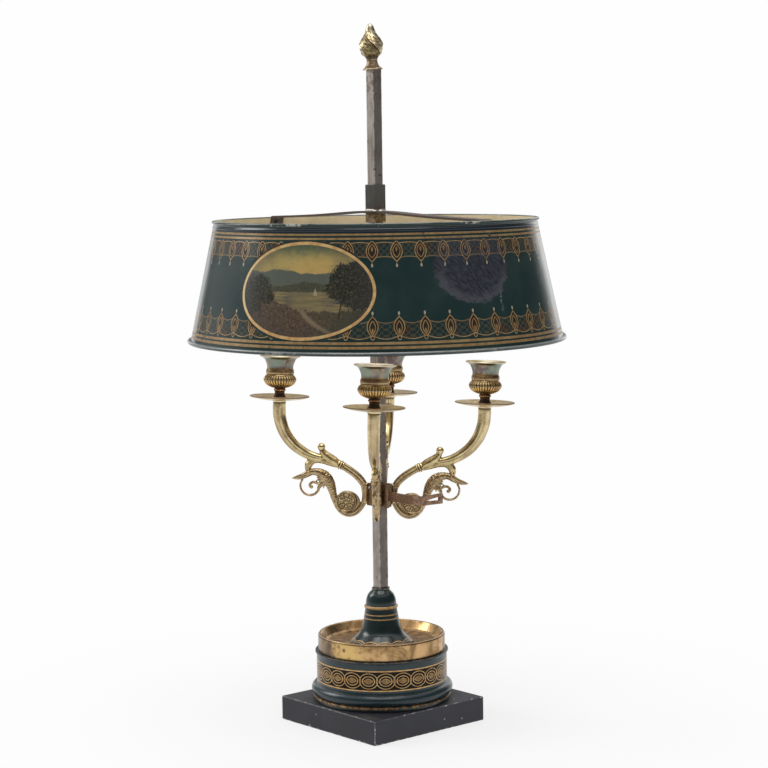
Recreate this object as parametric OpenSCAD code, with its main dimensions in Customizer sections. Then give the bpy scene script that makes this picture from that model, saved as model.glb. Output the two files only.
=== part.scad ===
// Bouillotte lamp. A square iron stem stands on a weighted drum. Four swan-scroll candle
// branches hang on a hub that slides on the stem and is clamped by a lever, and a painted
// sheet-iron shade hangs above them from a strap and a spring sheath on the same stem.
// Millimetres, +Z up, origin on the table under the stem. The shade's strap lies along Y,
// the lever points along -Y, and the branches lie on the diagonals.

/* [Plinth] */
// Side of the square plinth
plinth_side = 145.5; // [142:0.5:170]
// Height of the plinth
plinth_h = 24; // [18:0.5:32]
// Bevel along the plinth's top and upright edges
plinth_bevel = 1; // [0.4:0.1:3]
// Radius of the recess for the nut under the plinth
recess_r = 16; // [13:0.5:30]
// Depth of the recess for the nut
recess_h = 11; // [10:0.5:13]

/* [Drum] */
// Outer radius of the drum's straight wall
drum_r = 65.7; // [64:0.1:68]
// Height of the drum
drum_h = 49.5; // [40:0.5:60]
// Sheet thickness of the drum
drum_sheet = 1.2; // [0.8:0.1:2]
// Height of the fillet under the drum's moulding
drum_foot_h = 5; // [3:0.5:8]
// How far the fillet stands out from the wall
drum_foot_step = 3.8; // [2:0.1:4.5]
// Radius of the half-round moulding round the drum
torus_r = 6; // [4:0.1:7]
// Height of the lip at the drum's top
drum_lip_h = 2; // [1:0.1:3]
// How far the lip stands out from the wall
drum_lip_step = 1.4; // [0.5:0.1:2.5]
// Height of the iron weight in the drum
ballast_h = 36; // [20:0.5:38]
// Gap between the weight and the drum's wall
ballast_gap = 1.5; // [0.5:0.1:6]

/* [Tray] */
// Outer radius of the brass tray
tray_r = 63.9; // [58:0.1:65]
// Height of the tray's outer ring
tray_h = 17; // [13:0.5:24]
// Depth of the dish in the tray
dish_depth = 9.5; // [5:0.5:11]
// Width of the flat ledge on the tray's rim
ledge_w = 2.6; // [1.5:0.1:5]
// Run of the sloping wall between ledge and dish floor
dish_slope = 7; // [3:0.5:10]
// Thickness of the tray's metal
tray_wall = 2.4; // [1.5:0.1:4]
// Radius of the boss under the tray's middle
tray_boss_r = 18; // [12:0.5:30]

/* [Pedestal] */
// Height of the bell-shaped pedestal
bell_h = 55; // [40:0.5:70]
// Radius of the bell's foot
bell_foot_r = 32; // [26:0.5:40]
// Radius of the ring where bell and dome meet
bell_ring_r = 17; // [15:0.1:19]
// Radius of the collar at the top of the dome
bell_collar_r = 8.6; // [8.4:0.1:11]
// Wall of the bell
bell_wall = 2.2; // [1.5:0.1:3]

/* [Stem] */
// Side of the square stem
stem_side = 10.6; // [9:0.1:10.8]
// Height of the stem's shoulder above the table
stem_top = 653.3; // [600:0.1:720]
// Diameter of the tie rod below the stem
rod_d = 8; // [6:0.5:8.5]
// Diameter of the screw that holds the finial
spigot_d = 5; // [4:0.5:6]
// Length of that screw
spigot_h = 10; // [6:0.5:14]
// Width of the nut across its flats
nut_flats = 13; // [13:0.5:17]
// Height of the nut
nut_h = 6.5; // [4:0.5:7]
// Diameter of the washer
washer_d = 24; // [20:0.5:25]
// Thickness of the washer
washer_h = 1.6; // [1:0.1:2.5]

/* [Finial] */
// Height of the finial
finial_h = 45.3; // [35:0.1:60]
// Largest radius of the finial's bud, without its leaves
finial_r = 11.75; // [11:0.05:16]
// Angle by which the finial stands askew on the stem
finial_lean = 2.6; // [0:0.1:4]
// How far it stands off the stem's axis
finial_shift = 1; // [0:0.1:1.5]

/* [Hub] */
// Height of the hub's middle above the table
hub_z = 230.6; // [215:0.1:260]
// Side of the square hub
hub_side = 17.5; // [17:0.1:20]
// Height of the hub
hub_h = 22.5; // [20:0.5:28]
// Gap between the stem and what slides on it
slide_gap = 0.2; // [0.1:0.05:0.3]
// Diameter of the tenon that holds each branch
tenon_d = 4; // [3:0.1:4.5]
// Length of the tenon in the hub
tenon_l = 3; // [2:0.1:3.2]

/* [Lever] */
// Height of the lever's strip
lever_h = 8.8; // [6:0.1:9.5]
// Thickness of the lever's strip
lever_t = 2.8; // [2:0.1:3.4]
// Distance from the pin to the lever's bend
lever_l = 40; // [30:0.5:46]
// Length of the thumb loop beyond the bend
loop_l = 34; // [28:0.5:36]
// Diameter of the lever's pin
pin_d = 3; // [2:0.1:3.4]
// Distance of the pin from the hub's face
pin_out = 2.8; // [2.6:0.1:3.5]
// Running gap round the pin and beside the lever
lever_gap = 0.06; // [0.03:0.01:0.1]

/* [Branches] */
// Distance from the stem's axis to each candle
arm_reach = 103; // [95:0.5:115]
// Height of the drip pan's seat above the hub's middle
arm_rise = 90.1; // [80:0.1:105]
// Lean of the branches towards +X, whose hub is a loose fit that way
lean = 2.9; // [0:0.1:3.2]
// Thickness of the cast branch
arm_t = 8; // [6:0.1:8.5]
// Diameter of the horn where it meets the drip pan
horn_d = 13; // [10:0.1:15]
// Diameter of the branch next to the hub
branch_d = 7; // [6:0.1:8]
// Radius of the rosette
rosette_r = 10.5; // [9:0.1:11.5]

/* [Candle cups] */
// Diameter of the candle
candle_d = 22.5; // [20:0.1:23]
// Depth of the candle's socket
candle_h = 20; // [16:0.5:24]
// Radius of the cup's lip
lip_r = 20.55; // [18:0.05:24]
// Height of the nozzle above the urn
nozzle_h = 19; // [15:0.5:20]
// Height of the urn below the nozzle
urn_h = 25; // [23:0.5:32]
// Largest radius of the urn
urn_r = 16.45; // [15.5:0.05:19]
// Number of gadroons round the urn
gadroons = 20; // [14:2:26]
// Radius of the urn's foot
urn_foot_r = 7.2; // [6:0.1:9]
// Wall of the nozzle
nozzle_wall = 1.4; // [1:0.1:1.6]
// Radius of the drip pan
pan_r = 30; // [25:0.5:34]
// Thickness of the drip pan
pan_t = 1.5; // [1:0.1:2.5]
// How far the pan's rim stands above its middle
pan_lift = 3.4; // [1:0.1:6]
// Height of the boss under the pan's middle
pan_boss_h = 1.6; // [0.5:0.1:3]
// Diameter of the stud that holds cup and pan
stud_d = 4; // [3:0.1:5]

/* [Shade] */
// Height of the shade's lower edge above the table
shade_z = 386.5; // [375:0.5:410]
// Height of the shade
shade_h = 120.5; // [100:0.5:140]
// Outer radius of the shade's wall at the bottom
shade_bottom_r = 185.5; // [175:0.5:200]
// Outer radius of the shade's wall at the top
shade_top_r = 160.4; // [150:0.1:170]
// Sheet thickness of the shade
shade_sheet = 0.8; // [0.6:0.1:1.2]
// Radius of the rolled bottom edge
bottom_roll_r = 2; // [1.6:0.1:3]
// Radius of the rolled top edge
top_roll_r = 1.5; // [1.3:0.1:2]

/* [Shade carrier] */
// Width of the strap
strap_w = 16; // [12:0.5:20]
// Thickness of the strap
strap_t = 2.2; // [1.5:0.1:3]
// How far the strap's middle stands above the shade
strap_rise = 7.5; // [6:0.5:20]
// Radius of the strap's eye round the sheath
eye_r = 13; // [11.5:0.5:18]
// Length of the strap's feet inside the shade
strap_foot = 17; // [14:0.5:24]
// Diameter of the rivets in the feet
rivet_d = 3; // [2:0.1:4]
// Wall of the square sheath
sheath_wall = 1.2; // [1:0.1:1.5]
// Length of the sheath above the strap
sheath_up = 26; // [15:0.5:40]
// Length of the sheath below the strap
sheath_down = 9; // [8:0.5:25]
// Thickness of the friction spring in the sheath
spring_t = 0.4; // [0.3:0.05:0.5]
// Width of the friction spring
spring_w = 7; // [5:0.5:8]

/* [Hidden] */

// Directions of the branches, seen from above
FRONT = -135;
RIGHT = -45;
BACK = 45;
LEFT = 135;

// Shared small clearances
seat = 0.02;       // between pieces that are screwed or brazed together
screw_gap = 0.1;   // round a screw or a stud in its hole

// Heights from the table up
drum_z = plinth_h;
drum_top = drum_z + drum_h;
tray_top = drum_top + tray_h;
dish_z = tray_top - dish_depth;
bell_top = dish_z + bell_h;
rod_hole_r = rod_d / 2 + screw_gap;

// Sliding fit on the stem
slide_side = stem_side + 2 * slide_gap;
bore_w = (stem_side + hub_h * sin(lean)) / cos(lean) + 2 * slide_gap;
hub_corner = hub_side / sqrt(2);

// Lever
lever_z = hub_z - 0.5;
pin_y = -(hub_side / 2 + pin_out);
boss_r = pin_d / 2 + 2;
ear_r = pin_d / 2 + 2.8;
nose_r = 1.8;
cam_gap = 0.1;
nose_y = -stem_side / 2 - cam_gap - nose_r - pin_y;
slot_h = lever_h + 2 * lever_gap;
swing = 40;
loop_turn = 82;

// Candle cups
seat_z = hub_z + arm_rise;
pan_top = seat_z + pan_boss_h + pan_t;
urn_top = pan_top + urn_h;
rim_z = urn_top + nozzle_h;
candle_r = candle_d / 2;
sleeve_r = candle_r + nozzle_wall;
sleeve_h = candle_h - nozzle_h + 3;
stud_up = 9;
stud_down = 12;

// Shade
shade_top = shade_z + shade_h;
slope = atan((shade_bottom_r - shade_top_r) / (shade_h - bottom_roll_r - top_roll_r));
sheath_side = slide_side + 2 * spring_t + 2 * sheath_wall;
strap_z = shade_top + strap_rise;
foot_gap = strap_w * strap_w / 8 / (shade_top_r - 3) + 0.05;
wire_gap = 0.04;

// A round stretch of an outline, from angle a to angle b in n steps
function arc(c, r, a, b, n) =
    [for (i = [0:n]) c + r * [cos(a + (b - a) * i / n), sin(a + (b - a) * i / n)]];

// A smooth curve through knots; each knot is a list of numbers of any length
function spline_at(a, b, c, d, t) =
    0.5 * (2 * b + (c - a) * t + (2 * a - 5 * b + 4 * c - d) * t * t
        + (3 * b - a - 3 * c + d) * t * t * t);
function spline(k, n) = let (last = len(k) - 1) concat(
    [for (i = [0:last - 1], j = [0:n - 1])
        spline_at(k[max(i - 1, 0)], k[i], k[i + 1], k[min(i + 2, last)], j / n)],
    [k[last]]);

// Unit vector across a plane path at point i
function across(p, i) = let (
    d = p[min(i + 1, len(p) - 1)] - p[max(i - 1, 0)],
    l = sqrt(d[0] * d[0] + d[1] * d[1])) [-d[1] / l, d[0] / l];

// Outline of a strip of thickness t along a plane path
function ribbon(p, t) = concat(
    [for (i = [0:len(p) - 1]) p[i] + across(p, i) * t / 2],
    [for (i = [len(p) - 1:-1:0]) p[i] - across(p, i) * t / 2]);

// A closed body of revolution from an outline of [radius, height]
module lathe(outline) rotate_extrude($fn = 96) polygon(outline);

// Extrusion of an outline of [distance, height] across its plane, centred
module upright(outline, width, turn)
    rotate([90, 0, turn]) linear_extrude(width, center = true) polygon(outline);

// A rod of elliptical section along knots [distance, height, width, thickness], with a groove
// down the middle of both side faces that is a share of the thickness deep
module sweep(knots, steps, sides = 8, groove = 0) {
    p = spline(knots, steps);
    n = len(p);
    rings = [for (i = [0:n - 1], s = [0:sides - 1]) let (
        u = across(p, i),
        a = 360 * s / sides,
        w = cos(a) * p[i][2] / 2,
        t = sin(a) * p[i][3] / 2 * (1 - groove * pow(abs(sin(a)), 8)))
        [p[i][0] + u[0] * w, t, p[i][1] + u[1] * w]];
    walls = [for (i = [0:n - 2], s = [0:sides - 1]) let (
        a = i * sides + s,
        b = i * sides + (s + 1) % sides)
        each [[a, b, b + sides], [a, b + sides, a + sides]]];
    ends = [
        [for (s = [sides - 1:-1:0]) s],
        [for (s = [0:sides - 1]) (n - 1) * sides + s]];
    polyhedron(rings, concat(walls, ends));
}

// Leans a piece of the branches over the hub's middle
module leaning() translate([0, 0, hub_z]) rotate([0, lean, 0]) translate([0, 0, -hub_z]) children();

module plinth() {
    color("#26282c")
    difference() {
        intersection() {
            translate([0, 0, plinth_h / 2])
                cube([plinth_side, plinth_side, plinth_h], center = true);
            // the upright edges and the top edge are lightly bevelled
            rotate(45) translate([0, 0, plinth_h / 2]) cube([
                plinth_side * sqrt(2) - plinth_bevel * sqrt(2),
                plinth_side * sqrt(2) - plinth_bevel * sqrt(2), 2 * plinth_h], center = true);
            bevelled_block();
        }
        translate([0, 0, -1]) cylinder(h = recess_h + 1, r = recess_r);
        translate([0, 0, -1]) cylinder(h = plinth_h + 2, r = rod_hole_r);
    }
}

// The plinth's block with its four top edges bevelled
module bevelled_block() {
    side = plinth_side;
    cut = plinth_bevel;
    outline = [[-side / 2, -1], [side / 2, -1], [side / 2, plinth_h - cut],
        [side / 2 - cut, plinth_h], [cut - side / 2, plinth_h], [-side / 2, plinth_h - cut]];
    intersection() {
        upright(outline, side + 2, 0);
        upright(outline, side + 2, 90);
    }
}

module drum() {
    torus_in = 0.4;
    color("#1c3038")
    difference() {
        union() {
            translate([0, 0, drum_z]) cylinder(h = drum_foot_h + 1, r = drum_r + drum_foot_step);
            translate([0, 0, drum_z + drum_foot_h + torus_r])
                rotate_extrude() translate([drum_r - torus_in, 0]) circle(r = torus_r);
            translate([0, 0, drum_z]) cylinder(h = drum_h, r = drum_r);
            translate([0, 0, drum_top - drum_lip_h])
                cylinder(h = drum_lip_h, r = drum_r + drum_lip_step);
        }
        translate([0, 0, drum_z - 1])
            cylinder(h = drum_h + 1 - drum_sheet, r = drum_r - drum_sheet);
        cylinder(h = drum_top + 1, r = rod_hole_r);
    }
}

module ballast() {
    color("#4a4744")
    difference() {
        translate([0, 0, drum_z])
            cylinder(h = ballast_h, r = drum_r - drum_sheet - ballast_gap);
        cylinder(h = drum_top, r = rod_hole_r);
    }
}

module tray() {
    lip = 0.7;
    under = dish_z - tray_wall;
    color("#b08a3e")
    lathe([
        [rod_hole_r, drum_top], [tray_boss_r, drum_top], [tray_boss_r, under],
        [tray_r - ledge_w - dish_slope, under], [tray_r - tray_wall, under + dish_slope / 2],
        [tray_r - tray_wall, drum_top], [tray_r, drum_top],
        [tray_r, tray_top - 2 * lip], [tray_r - lip, tray_top - lip], [tray_r - lip, tray_top],
        [tray_r - ledge_w, tray_top], [tray_r - ledge_w - dish_slope * 0.6, dish_z + lip],
        [tray_r - ledge_w - dish_slope, dish_z], [rod_hole_r, dish_z]]);
}

// Outer outline of the bell and dome, each point [radius, share of the height]
function bell_side(inset) = [for (p = spline([
        [bell_foot_r, 0.02], [bell_foot_r * 0.83, 0.1], [bell_foot_r * 0.66, 0.205],
        [bell_ring_r * 1.07, 0.39], [bell_ring_r * 0.95, 0.6]], 4))
    [p[0] - inset, dish_z + p[1] * bell_h]];
function dome_side(inset) = [for (p = spline([
        [bell_ring_r * 0.91, 0.69], [bell_ring_r * 0.88, 0.78],
        [bell_ring_r * 0.76, 0.88], [bell_collar_r, 0.965]], 4))
    [p[0] - inset, dish_z + p[1] * bell_h]];

module pedestal() {
    ring_z = dish_z + 0.63 * bell_h;
    ring_h = 0.05 * bell_h;
    inner_top = dish_z + 0.84 * bell_h;
    color("#1b2e35")
    difference() {
        lathe(concat(
            [[0, dish_z], [bell_foot_r - 1, dish_z], [bell_foot_r, dish_z + 0.5]],
            bell_side(0),
            [[bell_ring_r, ring_z], [bell_ring_r, ring_z + ring_h]],
            dome_side(0),
            [[bell_collar_r, bell_top], [0, bell_top]]));
        lathe(concat(
            [[0, dish_z - 1], [bell_foot_r - bell_wall, dish_z - 1]],
            bell_side(bell_wall),
            [[bell_ring_r * 0.91 - bell_wall, ring_z + ring_h],
                [stem_side * 0.8, inner_top], [0, inner_top]]));
        translate([0, 0, bell_top]) cube([slide_side, slide_side, bell_h], center = true);
    }
}

module stem() {
    color("#6b6763")
    union() {
        translate([-stem_side / 2, -stem_side / 2, dish_z])
            cube([stem_side, stem_side, stem_top - dish_z]);
        translate([0, 0, recess_h - washer_h - nut_h - 1])
            cylinder(h = dish_z + 1 - (recess_h - washer_h - nut_h - 1), d = rod_d);
        translate([0, 0, stem_top - 1]) cylinder(h = spigot_h + 1, d = spigot_d);
    }
}

module stem_washer() {
    color("#777470")
    translate([0, 0, recess_h - washer_h]) difference() {
        cylinder(h = washer_h, d = washer_d);
        translate([0, 0, -1]) cylinder(h = washer_h + 2, r = rod_hole_r);
    }
}

module stem_nut() {
    color("#777470")
    translate([0, 0, recess_h - washer_h - nut_h]) difference() {
        cylinder(h = nut_h, d = nut_flats / cos(30), $fn = 6);
        translate([0, 0, -1]) cylinder(h = nut_h + 2, r = rod_hole_r);
    }
}

// Bud finial; each knot is [share of the radius, share of the height]
module finial() {
    foot = [[0.82, 0.02], [0.62, 0.064], [0.5, 0.125], [0.45, 0.19], [0.49, 0.25]];
    bud = [[0.6, 0.29], [0.84, 0.35], [1, 0.46], [0.96, 0.55], [0.77, 0.665],
        [0.5, 0.785], [0.39, 0.86], [0.26, 0.95], [0.06, 1]];
    side = concat([[0, 0], [0.84, 0]], spline(foot, 3), spline(bud, 3), [[0, 1]]);
    sink = stem_side / sqrt(2) * sin(finial_lean);
    color("#b58f42")
    difference() {
        translate([0, 0, stem_top - sink]) rotate(140) translate([finial_shift, 0, 0])
            rotate([0, finial_lean, 0]) union() {
            lathe([for (p = side) [p[0] * finial_r, p[1] * finial_h]]);
            for (i = [0:4]) {
                rotate(i * 72 + 18) bud_leaf(bud, 0.07, 0.3, 0.78, 0.6);
                rotate(i * 72 + 54) bud_leaf(bud, 0.035, 0.32, 0.92, 0.5);
            }
        }
        translate([0, 0, stem_top - 1])
            cylinder(h = spigot_h + 2, d = spigot_d + 2 * screw_gap);
        translate([0, 0, stem_top - 2])
            cube([stem_side + 2 * slide_gap, stem_side + 2 * slide_gap, 4], center = true);
    }
}

// One pointed leaf that lies on the bud: lift is a share of the radius, low and high are shares
// of the height, and half_w is the leaf's half width as a share of the radius
module bud_leaf(bud, lift, low, high, half_w) {
    span = high - low;
    blade = spline([[0, low], [half_w * 0.8, low + span * 0.16], [half_w, low + span * 0.4],
        [half_w * 0.66, low + span * 0.72], [0, high]], 3);
    outline = concat(blade, [for (i = [len(blade) - 2:-1:1]) [-blade[i][0], blade[i][1]]]);
    intersection() {
        rotate_extrude($fn = 96) polygon(concat(
            [[0, bud[0][1] * finial_h]],
            [for (p = spline(bud, 3)) [(p[0] + lift) * finial_r, p[1] * finial_h]],
            [[0, finial_h]]));
        translate([0.1 * finial_r, 0, 0]) rotate([90, 0, 90]) linear_extrude(2 * finial_r)
            polygon([for (p = outline) [p[0] * finial_r, p[1] * finial_h]]);
    }
}

// The square sleeve that carries the branches, with the slotted ears of the lever
module hub() {
    ear_w = 8.4;
    nose_side = nose_y * sin(swing) + nose_r + 0.3;
    color("#6f5a34")
    leaning() difference() {
        union() {
            translate([0, 0, hub_z]) cube([hub_side, hub_side, hub_h], center = true);
            translate([0, pin_y, hub_z]) cylinder(h = hub_h, r = ear_r, center = true);
            translate([-ear_w / 2, pin_y, hub_z - hub_h / 2]) cube([ear_w, -pin_y, hub_h]);
        }
        translate([0, 0, hub_z]) cube([bore_w, slide_side, hub_h + 2], center = true);
        // the slot in the ears, and the window in the wall for the lever's nose
        translate([-hub_side, pin_y - ear_r - 1, lever_z - slot_h / 2])
            cube([2 * hub_side, ear_r + 1 + pin_out - 0.01, slot_h]);
        translate([-nose_r - 2, pin_y, lever_z - slot_h / 2])
            cube([nose_side + nose_r + 2, -pin_y, slot_h]);
        translate([0, pin_y, hub_z])
            cylinder(h = hub_h + 2, d = pin_d + 2 * seat, center = true);
        for (turn = [FRONT, RIGHT, BACK, LEFT]) tenon(turn, seat);
    }
}

// The round tenon of a branch, or with a gap its hole in the hub
module tenon(turn, gap = 0) {
    rotate(turn) translate([hub_corner - tenon_l - gap, 0, hub_z + hub_h * 0.3])
        rotate([0, 90, 0]) cylinder(h = tenon_l + gap + 3, d = tenon_d + 2 * gap, $fn = 32);
}

module lever_pin() {
    head_h = 1.2;
    color("#5d4a3c")
    leaning() translate([0, pin_y, hub_z]) {
        cylinder(h = hub_h + 2, d = pin_d, center = true);
        translate([0, 0, hub_h / 2 + seat]) cylinder(h = head_h, d = pin_d + 2.4);
        translate([0, 0, -hub_h / 2 - seat - head_h]) cylinder(h = head_h, d = pin_d + 1.4);
    }
}

// A strip on edge from the pin to a bend, then a pierced thumb loop
module clamp_lever() {
    bend = pin_y - lever_l;
    nose_w = 2 * nose_r - 0.5;
    color("#6a4b38")
    leaning() difference() {
        union() {
            translate([0, pin_y, lever_z]) cylinder(h = lever_h, r = boss_r, center = true);
            translate([0, pin_y + nose_y, lever_z])
                cylinder(h = lever_h, r = nose_r, center = true);
            translate([-nose_w / 2, pin_y, lever_z - lever_h / 2]) cube([nose_w, nose_y, lever_h]);
            translate([-lever_t / 2, bend, lever_z - lever_h / 2])
                cube([lever_t, lever_l, lever_h]);
            translate([0, bend, lever_z])
                cylinder(h = lever_h, d = lever_t * 1.2, center = true);
            translate([0, bend, lever_z]) rotate([90, 0, loop_turn - 90])
                linear_extrude(lever_t, center = true) thumb_loop();
        }
        translate([0, pin_y, lever_z])
            cylinder(h = lever_h + 2, d = pin_d + 2 * lever_gap, center = true);
    }
}

// Outline of the thumb loop, from the bend outwards
module thumb_loop() {
    h = lever_h / 2;
    difference() {
        polygon([[0, 0.3 - h], [loop_l * 0.2, -h * 1.25], [loop_l * 0.4, -h * 1.25],
            [loop_l, -h], [loop_l, h * 1.25], [loop_l * 0.9, h * 1.25],
            [loop_l * 0.35, h * 0.8], [0, h - 0.3]]);
        polygon([[loop_l * 0.3, -h * 0.35], [loop_l * 0.88, -h * 0.3], [loop_l * 0.88, h * 0.6]]);
    }
}

// A knot of a branch: distance and height in hundredths of its reach and rise
function knot(x, z, w, t) = [x * arm_reach / 100, z * arm_rise / 100, w, t];

// One cast branch, lying along +X from the hub's corner to the pan's seat
module arm_body() {
    d = branch_d;
    root = hub_corner + d * 0.33;
    root_t = arm_t * 0.72;
    // from the hub up through the collar and the leaf to the horn's top
    horn = [
        [root, -d * 0.43, d * 0.7, root_t], [root + d * 0.05, d * 0.43, d * 0.85, root_t],
        knot(15.6, 10.3, d, root_t), knot(20.2, 17.6, d * 1.05, d), knot(28, 24.8, d * 1.05, d),
        knot(39, 32, d * 1.05, d), knot(51, 36.8, d * 1.1, d * 1.1),
        knot(60.5, 38.8, d * 1.15, d * 1.2), knot(69.5, 41.5, horn_d * 0.72, horn_d * 0.72),
        knot(78, 46.6, horn_d * 0.8, horn_d * 0.8), knot(87, 54.9, horn_d * 0.87, horn_d * 0.87),
        knot(94.6, 67, horn_d * 0.93, horn_d * 0.93), knot(99, 81, horn_d * 0.98, horn_d * 0.98),
        knot(100, 94, horn_d, horn_d), knot(100, 104, horn_d, horn_d)];
    // from the hub round the rosette, then up the swan's neck to its head and beak
    swan = [
        [root, d * 0.43, d * 0.7, root_t], [root + d * 0.03, -d * 0.4, d * 0.75, root_t],
        knot(15.2, -9.5, d * 0.75, arm_t * 0.75), knot(18.2, -15.8, d * 0.75, arm_t * 0.8),
        knot(22.5, -21, d * 0.72, arm_t * 0.8), knot(28.6, -23.6, d * 0.7, arm_t * 0.8),
        knot(34.9, -22, d * 0.7, arm_t * 0.8), knot(39.4, -17.3, d * 0.75, arm_t * 0.8),
        knot(42.6, -10.2, d * 0.85, arm_t * 0.85), knot(44.8, -3.2, d, arm_t * 0.9),
        knot(46.6, 4, d * 1.15, arm_t), knot(48.7, 11.2, d * 1.4, arm_t),
        knot(52.4, 17.3, d * 1.5, arm_t), knot(57.5, 21.4, d * 1.3, arm_t * 0.9),
        knot(62.9, 22.9, d * 1.05, arm_t * 0.85), knot(67.7, 22.4, d * 0.95, arm_t * 0.85),
        knot(72.4, 19.4, d * 0.86, arm_t * 0.7), knot(76.5, 16.9, d * 0.6, arm_t * 0.5),
        knot(81, 15.8, d * 0.4, arm_t * 0.35), knot(85.8, 15.1, d * 0.18, arm_t * 0.18)];
    // the leaf that sheathes the branch up to its curled tip
    leaf = [
        knot(40.3, 32, d, d * 1.1), knot(45, 35.3, d * 1.25, d * 1.25),
        knot(50.2, 39, d * 1.2, d * 1.25), knot(54.6, 42.9, d * 1.1, d * 1.15),
        knot(57.3, 47.6, d * 0.85, d)];
    // its lower lobe, which bends down to the swan's head
    hook = [
        knot(43, 30.8, d * 0.6, d * 0.9), knot(49, 33, d * 0.75, d),
        knot(56, 35.4, d * 0.8, d * 1.05), knot(62, 36.3, d * 0.9, d * 1.05),
        knot(66.6, 35.2, d, d), knot(69.7, 31.6, d * 1.05, d * 0.95),
        knot(70.6, 27.4, d * 0.85, d * 0.85), knot(70.4, 23.5, d * 0.7, d * 0.75)];
    // the thin ring under the beak and the volute inside it, both springing from feather tips
    ring_at = knot(68.3, 7.3);
    ring_r = 0.094 * arm_reach;
    ring = concat(
        [for (i = [0:6]) let (a = 40 - 32 * i)
            [ring_at[0] + ring_r * cos(a), ring_at[1] + ring_r * sin(a), d * 0.31, arm_t * 0.42]],
        [knot(59.8, 5, d * 0.4, arm_t * 0.5), knot(58, 9.5, d * 0.5, arm_t * 0.6)]);
    volute = [
        knot(57.5, 7.3, d * 0.45, arm_t * 0.6), knot(60, 9.2, d * 0.45, arm_t * 0.55),
        knot(63.2, 10.9, d * 0.42, arm_t * 0.5), knot(66.5, 10.6, d * 0.42, arm_t * 0.5),
        knot(68.6, 8.2, d * 0.42, arm_t * 0.5), knot(68.3, 5.6, d * 0.4, arm_t * 0.5)];
    tips = [[62, 16.2], [62.4, 12.6], [59.6, 3.2], [52.6, 7.2]];
    translate([0, 0, hub_z]) {
        sweep(horn, 2, groove = 0.3);
        sweep(swan, 2, groove = 0.25);
        sweep(leaf, 2);
        sweep(hook, 2, groove = 0.3);
        sweep(ring, 2, 5);
        sweep(volute, 2, 5);
        for (tip = tips) sweep([
            knot(53, 13.6, d * 0.6, arm_t * 0.7),
            knot((53 + tip[0]) / 2, (13.6 + tip[1]) / 2 + 1, d * 0.5, arm_t * 0.62),
            knot(tip[0], tip[1], d * 0.14, arm_t * 0.25)], 1, 5);
        collar(37, 30.4);
        collar(39.8, 31.8);
        translate([0.579 * arm_reach, 0, 0.51 * arm_rise]) sphere(d = d * 0.95, $fn = 10);
        translate([0.667 * arm_reach, 0, 0.057 * arm_rise]) sphere(d = d * 0.57, $fn = 8);
        translate([0.322 * arm_reach, 0, -0.09 * arm_rise]) rosette();
        translate([hub_corner - root_t / 2, -root_t / 2, -0.31 * hub_h])
            cube([root_t / 2 + d * 0.5, root_t, 0.71 * hub_h]);
    }
}

// Ring moulding round a branch at a knot
module collar(x, z) {
    branch_slope = 28;
    translate([x * arm_reach / 100, 0, z * arm_rise / 100]) rotate([0, 90 - branch_slope, 0])
        cylinder(h = branch_d * 0.24, d = branch_d * 1.28, center = true, $fn = 14);
}

// Disc with a raised rim, eight petals and a boss on both faces
module rosette() {
    petals = 8;
    disc_t = arm_t * 0.6;
    rim_t = disc_t * 1.3;
    petal_t = disc_t * 1.2;
    rim_w = rosette_r * 0.12;
    rotate([90, 0, 0]) {
        cylinder(h = disc_t, r = rosette_r - rim_w / 2, center = true, $fn = 20);
        difference() {
            cylinder(h = rim_t, r = rosette_r, center = true, $fn = 20);
            cylinder(h = 2 * rim_t, r = rosette_r - rim_w, center = true, $fn = 20);
        }
        cylinder(h = disc_t * 1.5, r = rosette_r * 0.2, center = true, $fn = 8);
        for (i = [0:petals - 1]) rotate((i + 0.5) * 360 / petals) hull() {
            translate([rosette_r * 0.28, 0, 0])
                cube([rosette_r * 0.05, rosette_r * 0.1, petal_t], center = true);
            translate([rosette_r * 0.68, 0, 0])
                cylinder(h = petal_t, r = rosette_r * 0.15, center = true, $fn = 5);
        }
    }
}

module arm(turn) {
    color("#a5873f") leaning() {
        rotate(turn) difference() {
            arm_body();
            // the notch that seats on the hub's corner, the flat top, and the stud's hole
            translate([0, 0, hub_z]) rotate(45)
                cube([hub_side + 2 * seat, hub_side + 2 * seat, 2 * hub_h], center = true);
            translate([arm_reach - horn_d, -horn_d, seat_z]) cube(2 * horn_d);
            translate([arm_reach, 0, seat_z - stud_down])
                cylinder(h = stud_down + 1, d = stud_d + 2 * screw_gap, $fn = 24);
        }
        tenon(turn);
    }
}

// Puts a piece of a candle's place at the end of a branch
module at_candle(turn) leaning() rotate(turn) translate([arm_reach, 0, 0]) children();

// Dished pan with a boss under its middle that stands on the horn
module drip_pan(turn) {
    flat_r = urn_foot_r * 1.28;
    boss_top_r = horn_d * 0.53;
    hole_r = stud_d / 2 + screw_gap;
    under = seat_z + pan_boss_h;
    lip = pan_t * 0.55;
    color("#b5924a")
    at_candle(turn) lathe([
        [hole_r, seat_z], [boss_top_r, seat_z], [boss_top_r, under], [flat_r, under],
        [pan_r * 0.55, under + pan_lift * 0.22], [pan_r * 0.8, under + pan_lift * 0.58],
        [pan_r, under + pan_lift], [pan_r, under + pan_lift + lip],
        [pan_r - lip, under + pan_lift + pan_t], [pan_r - 2 * lip, under + pan_lift + pan_t],
        [pan_r * 0.8, pan_top + pan_lift * 0.58], [pan_r * 0.55, pan_top + pan_lift * 0.22],
        [flat_r, pan_top], [hole_r, pan_top]]);
}

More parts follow.
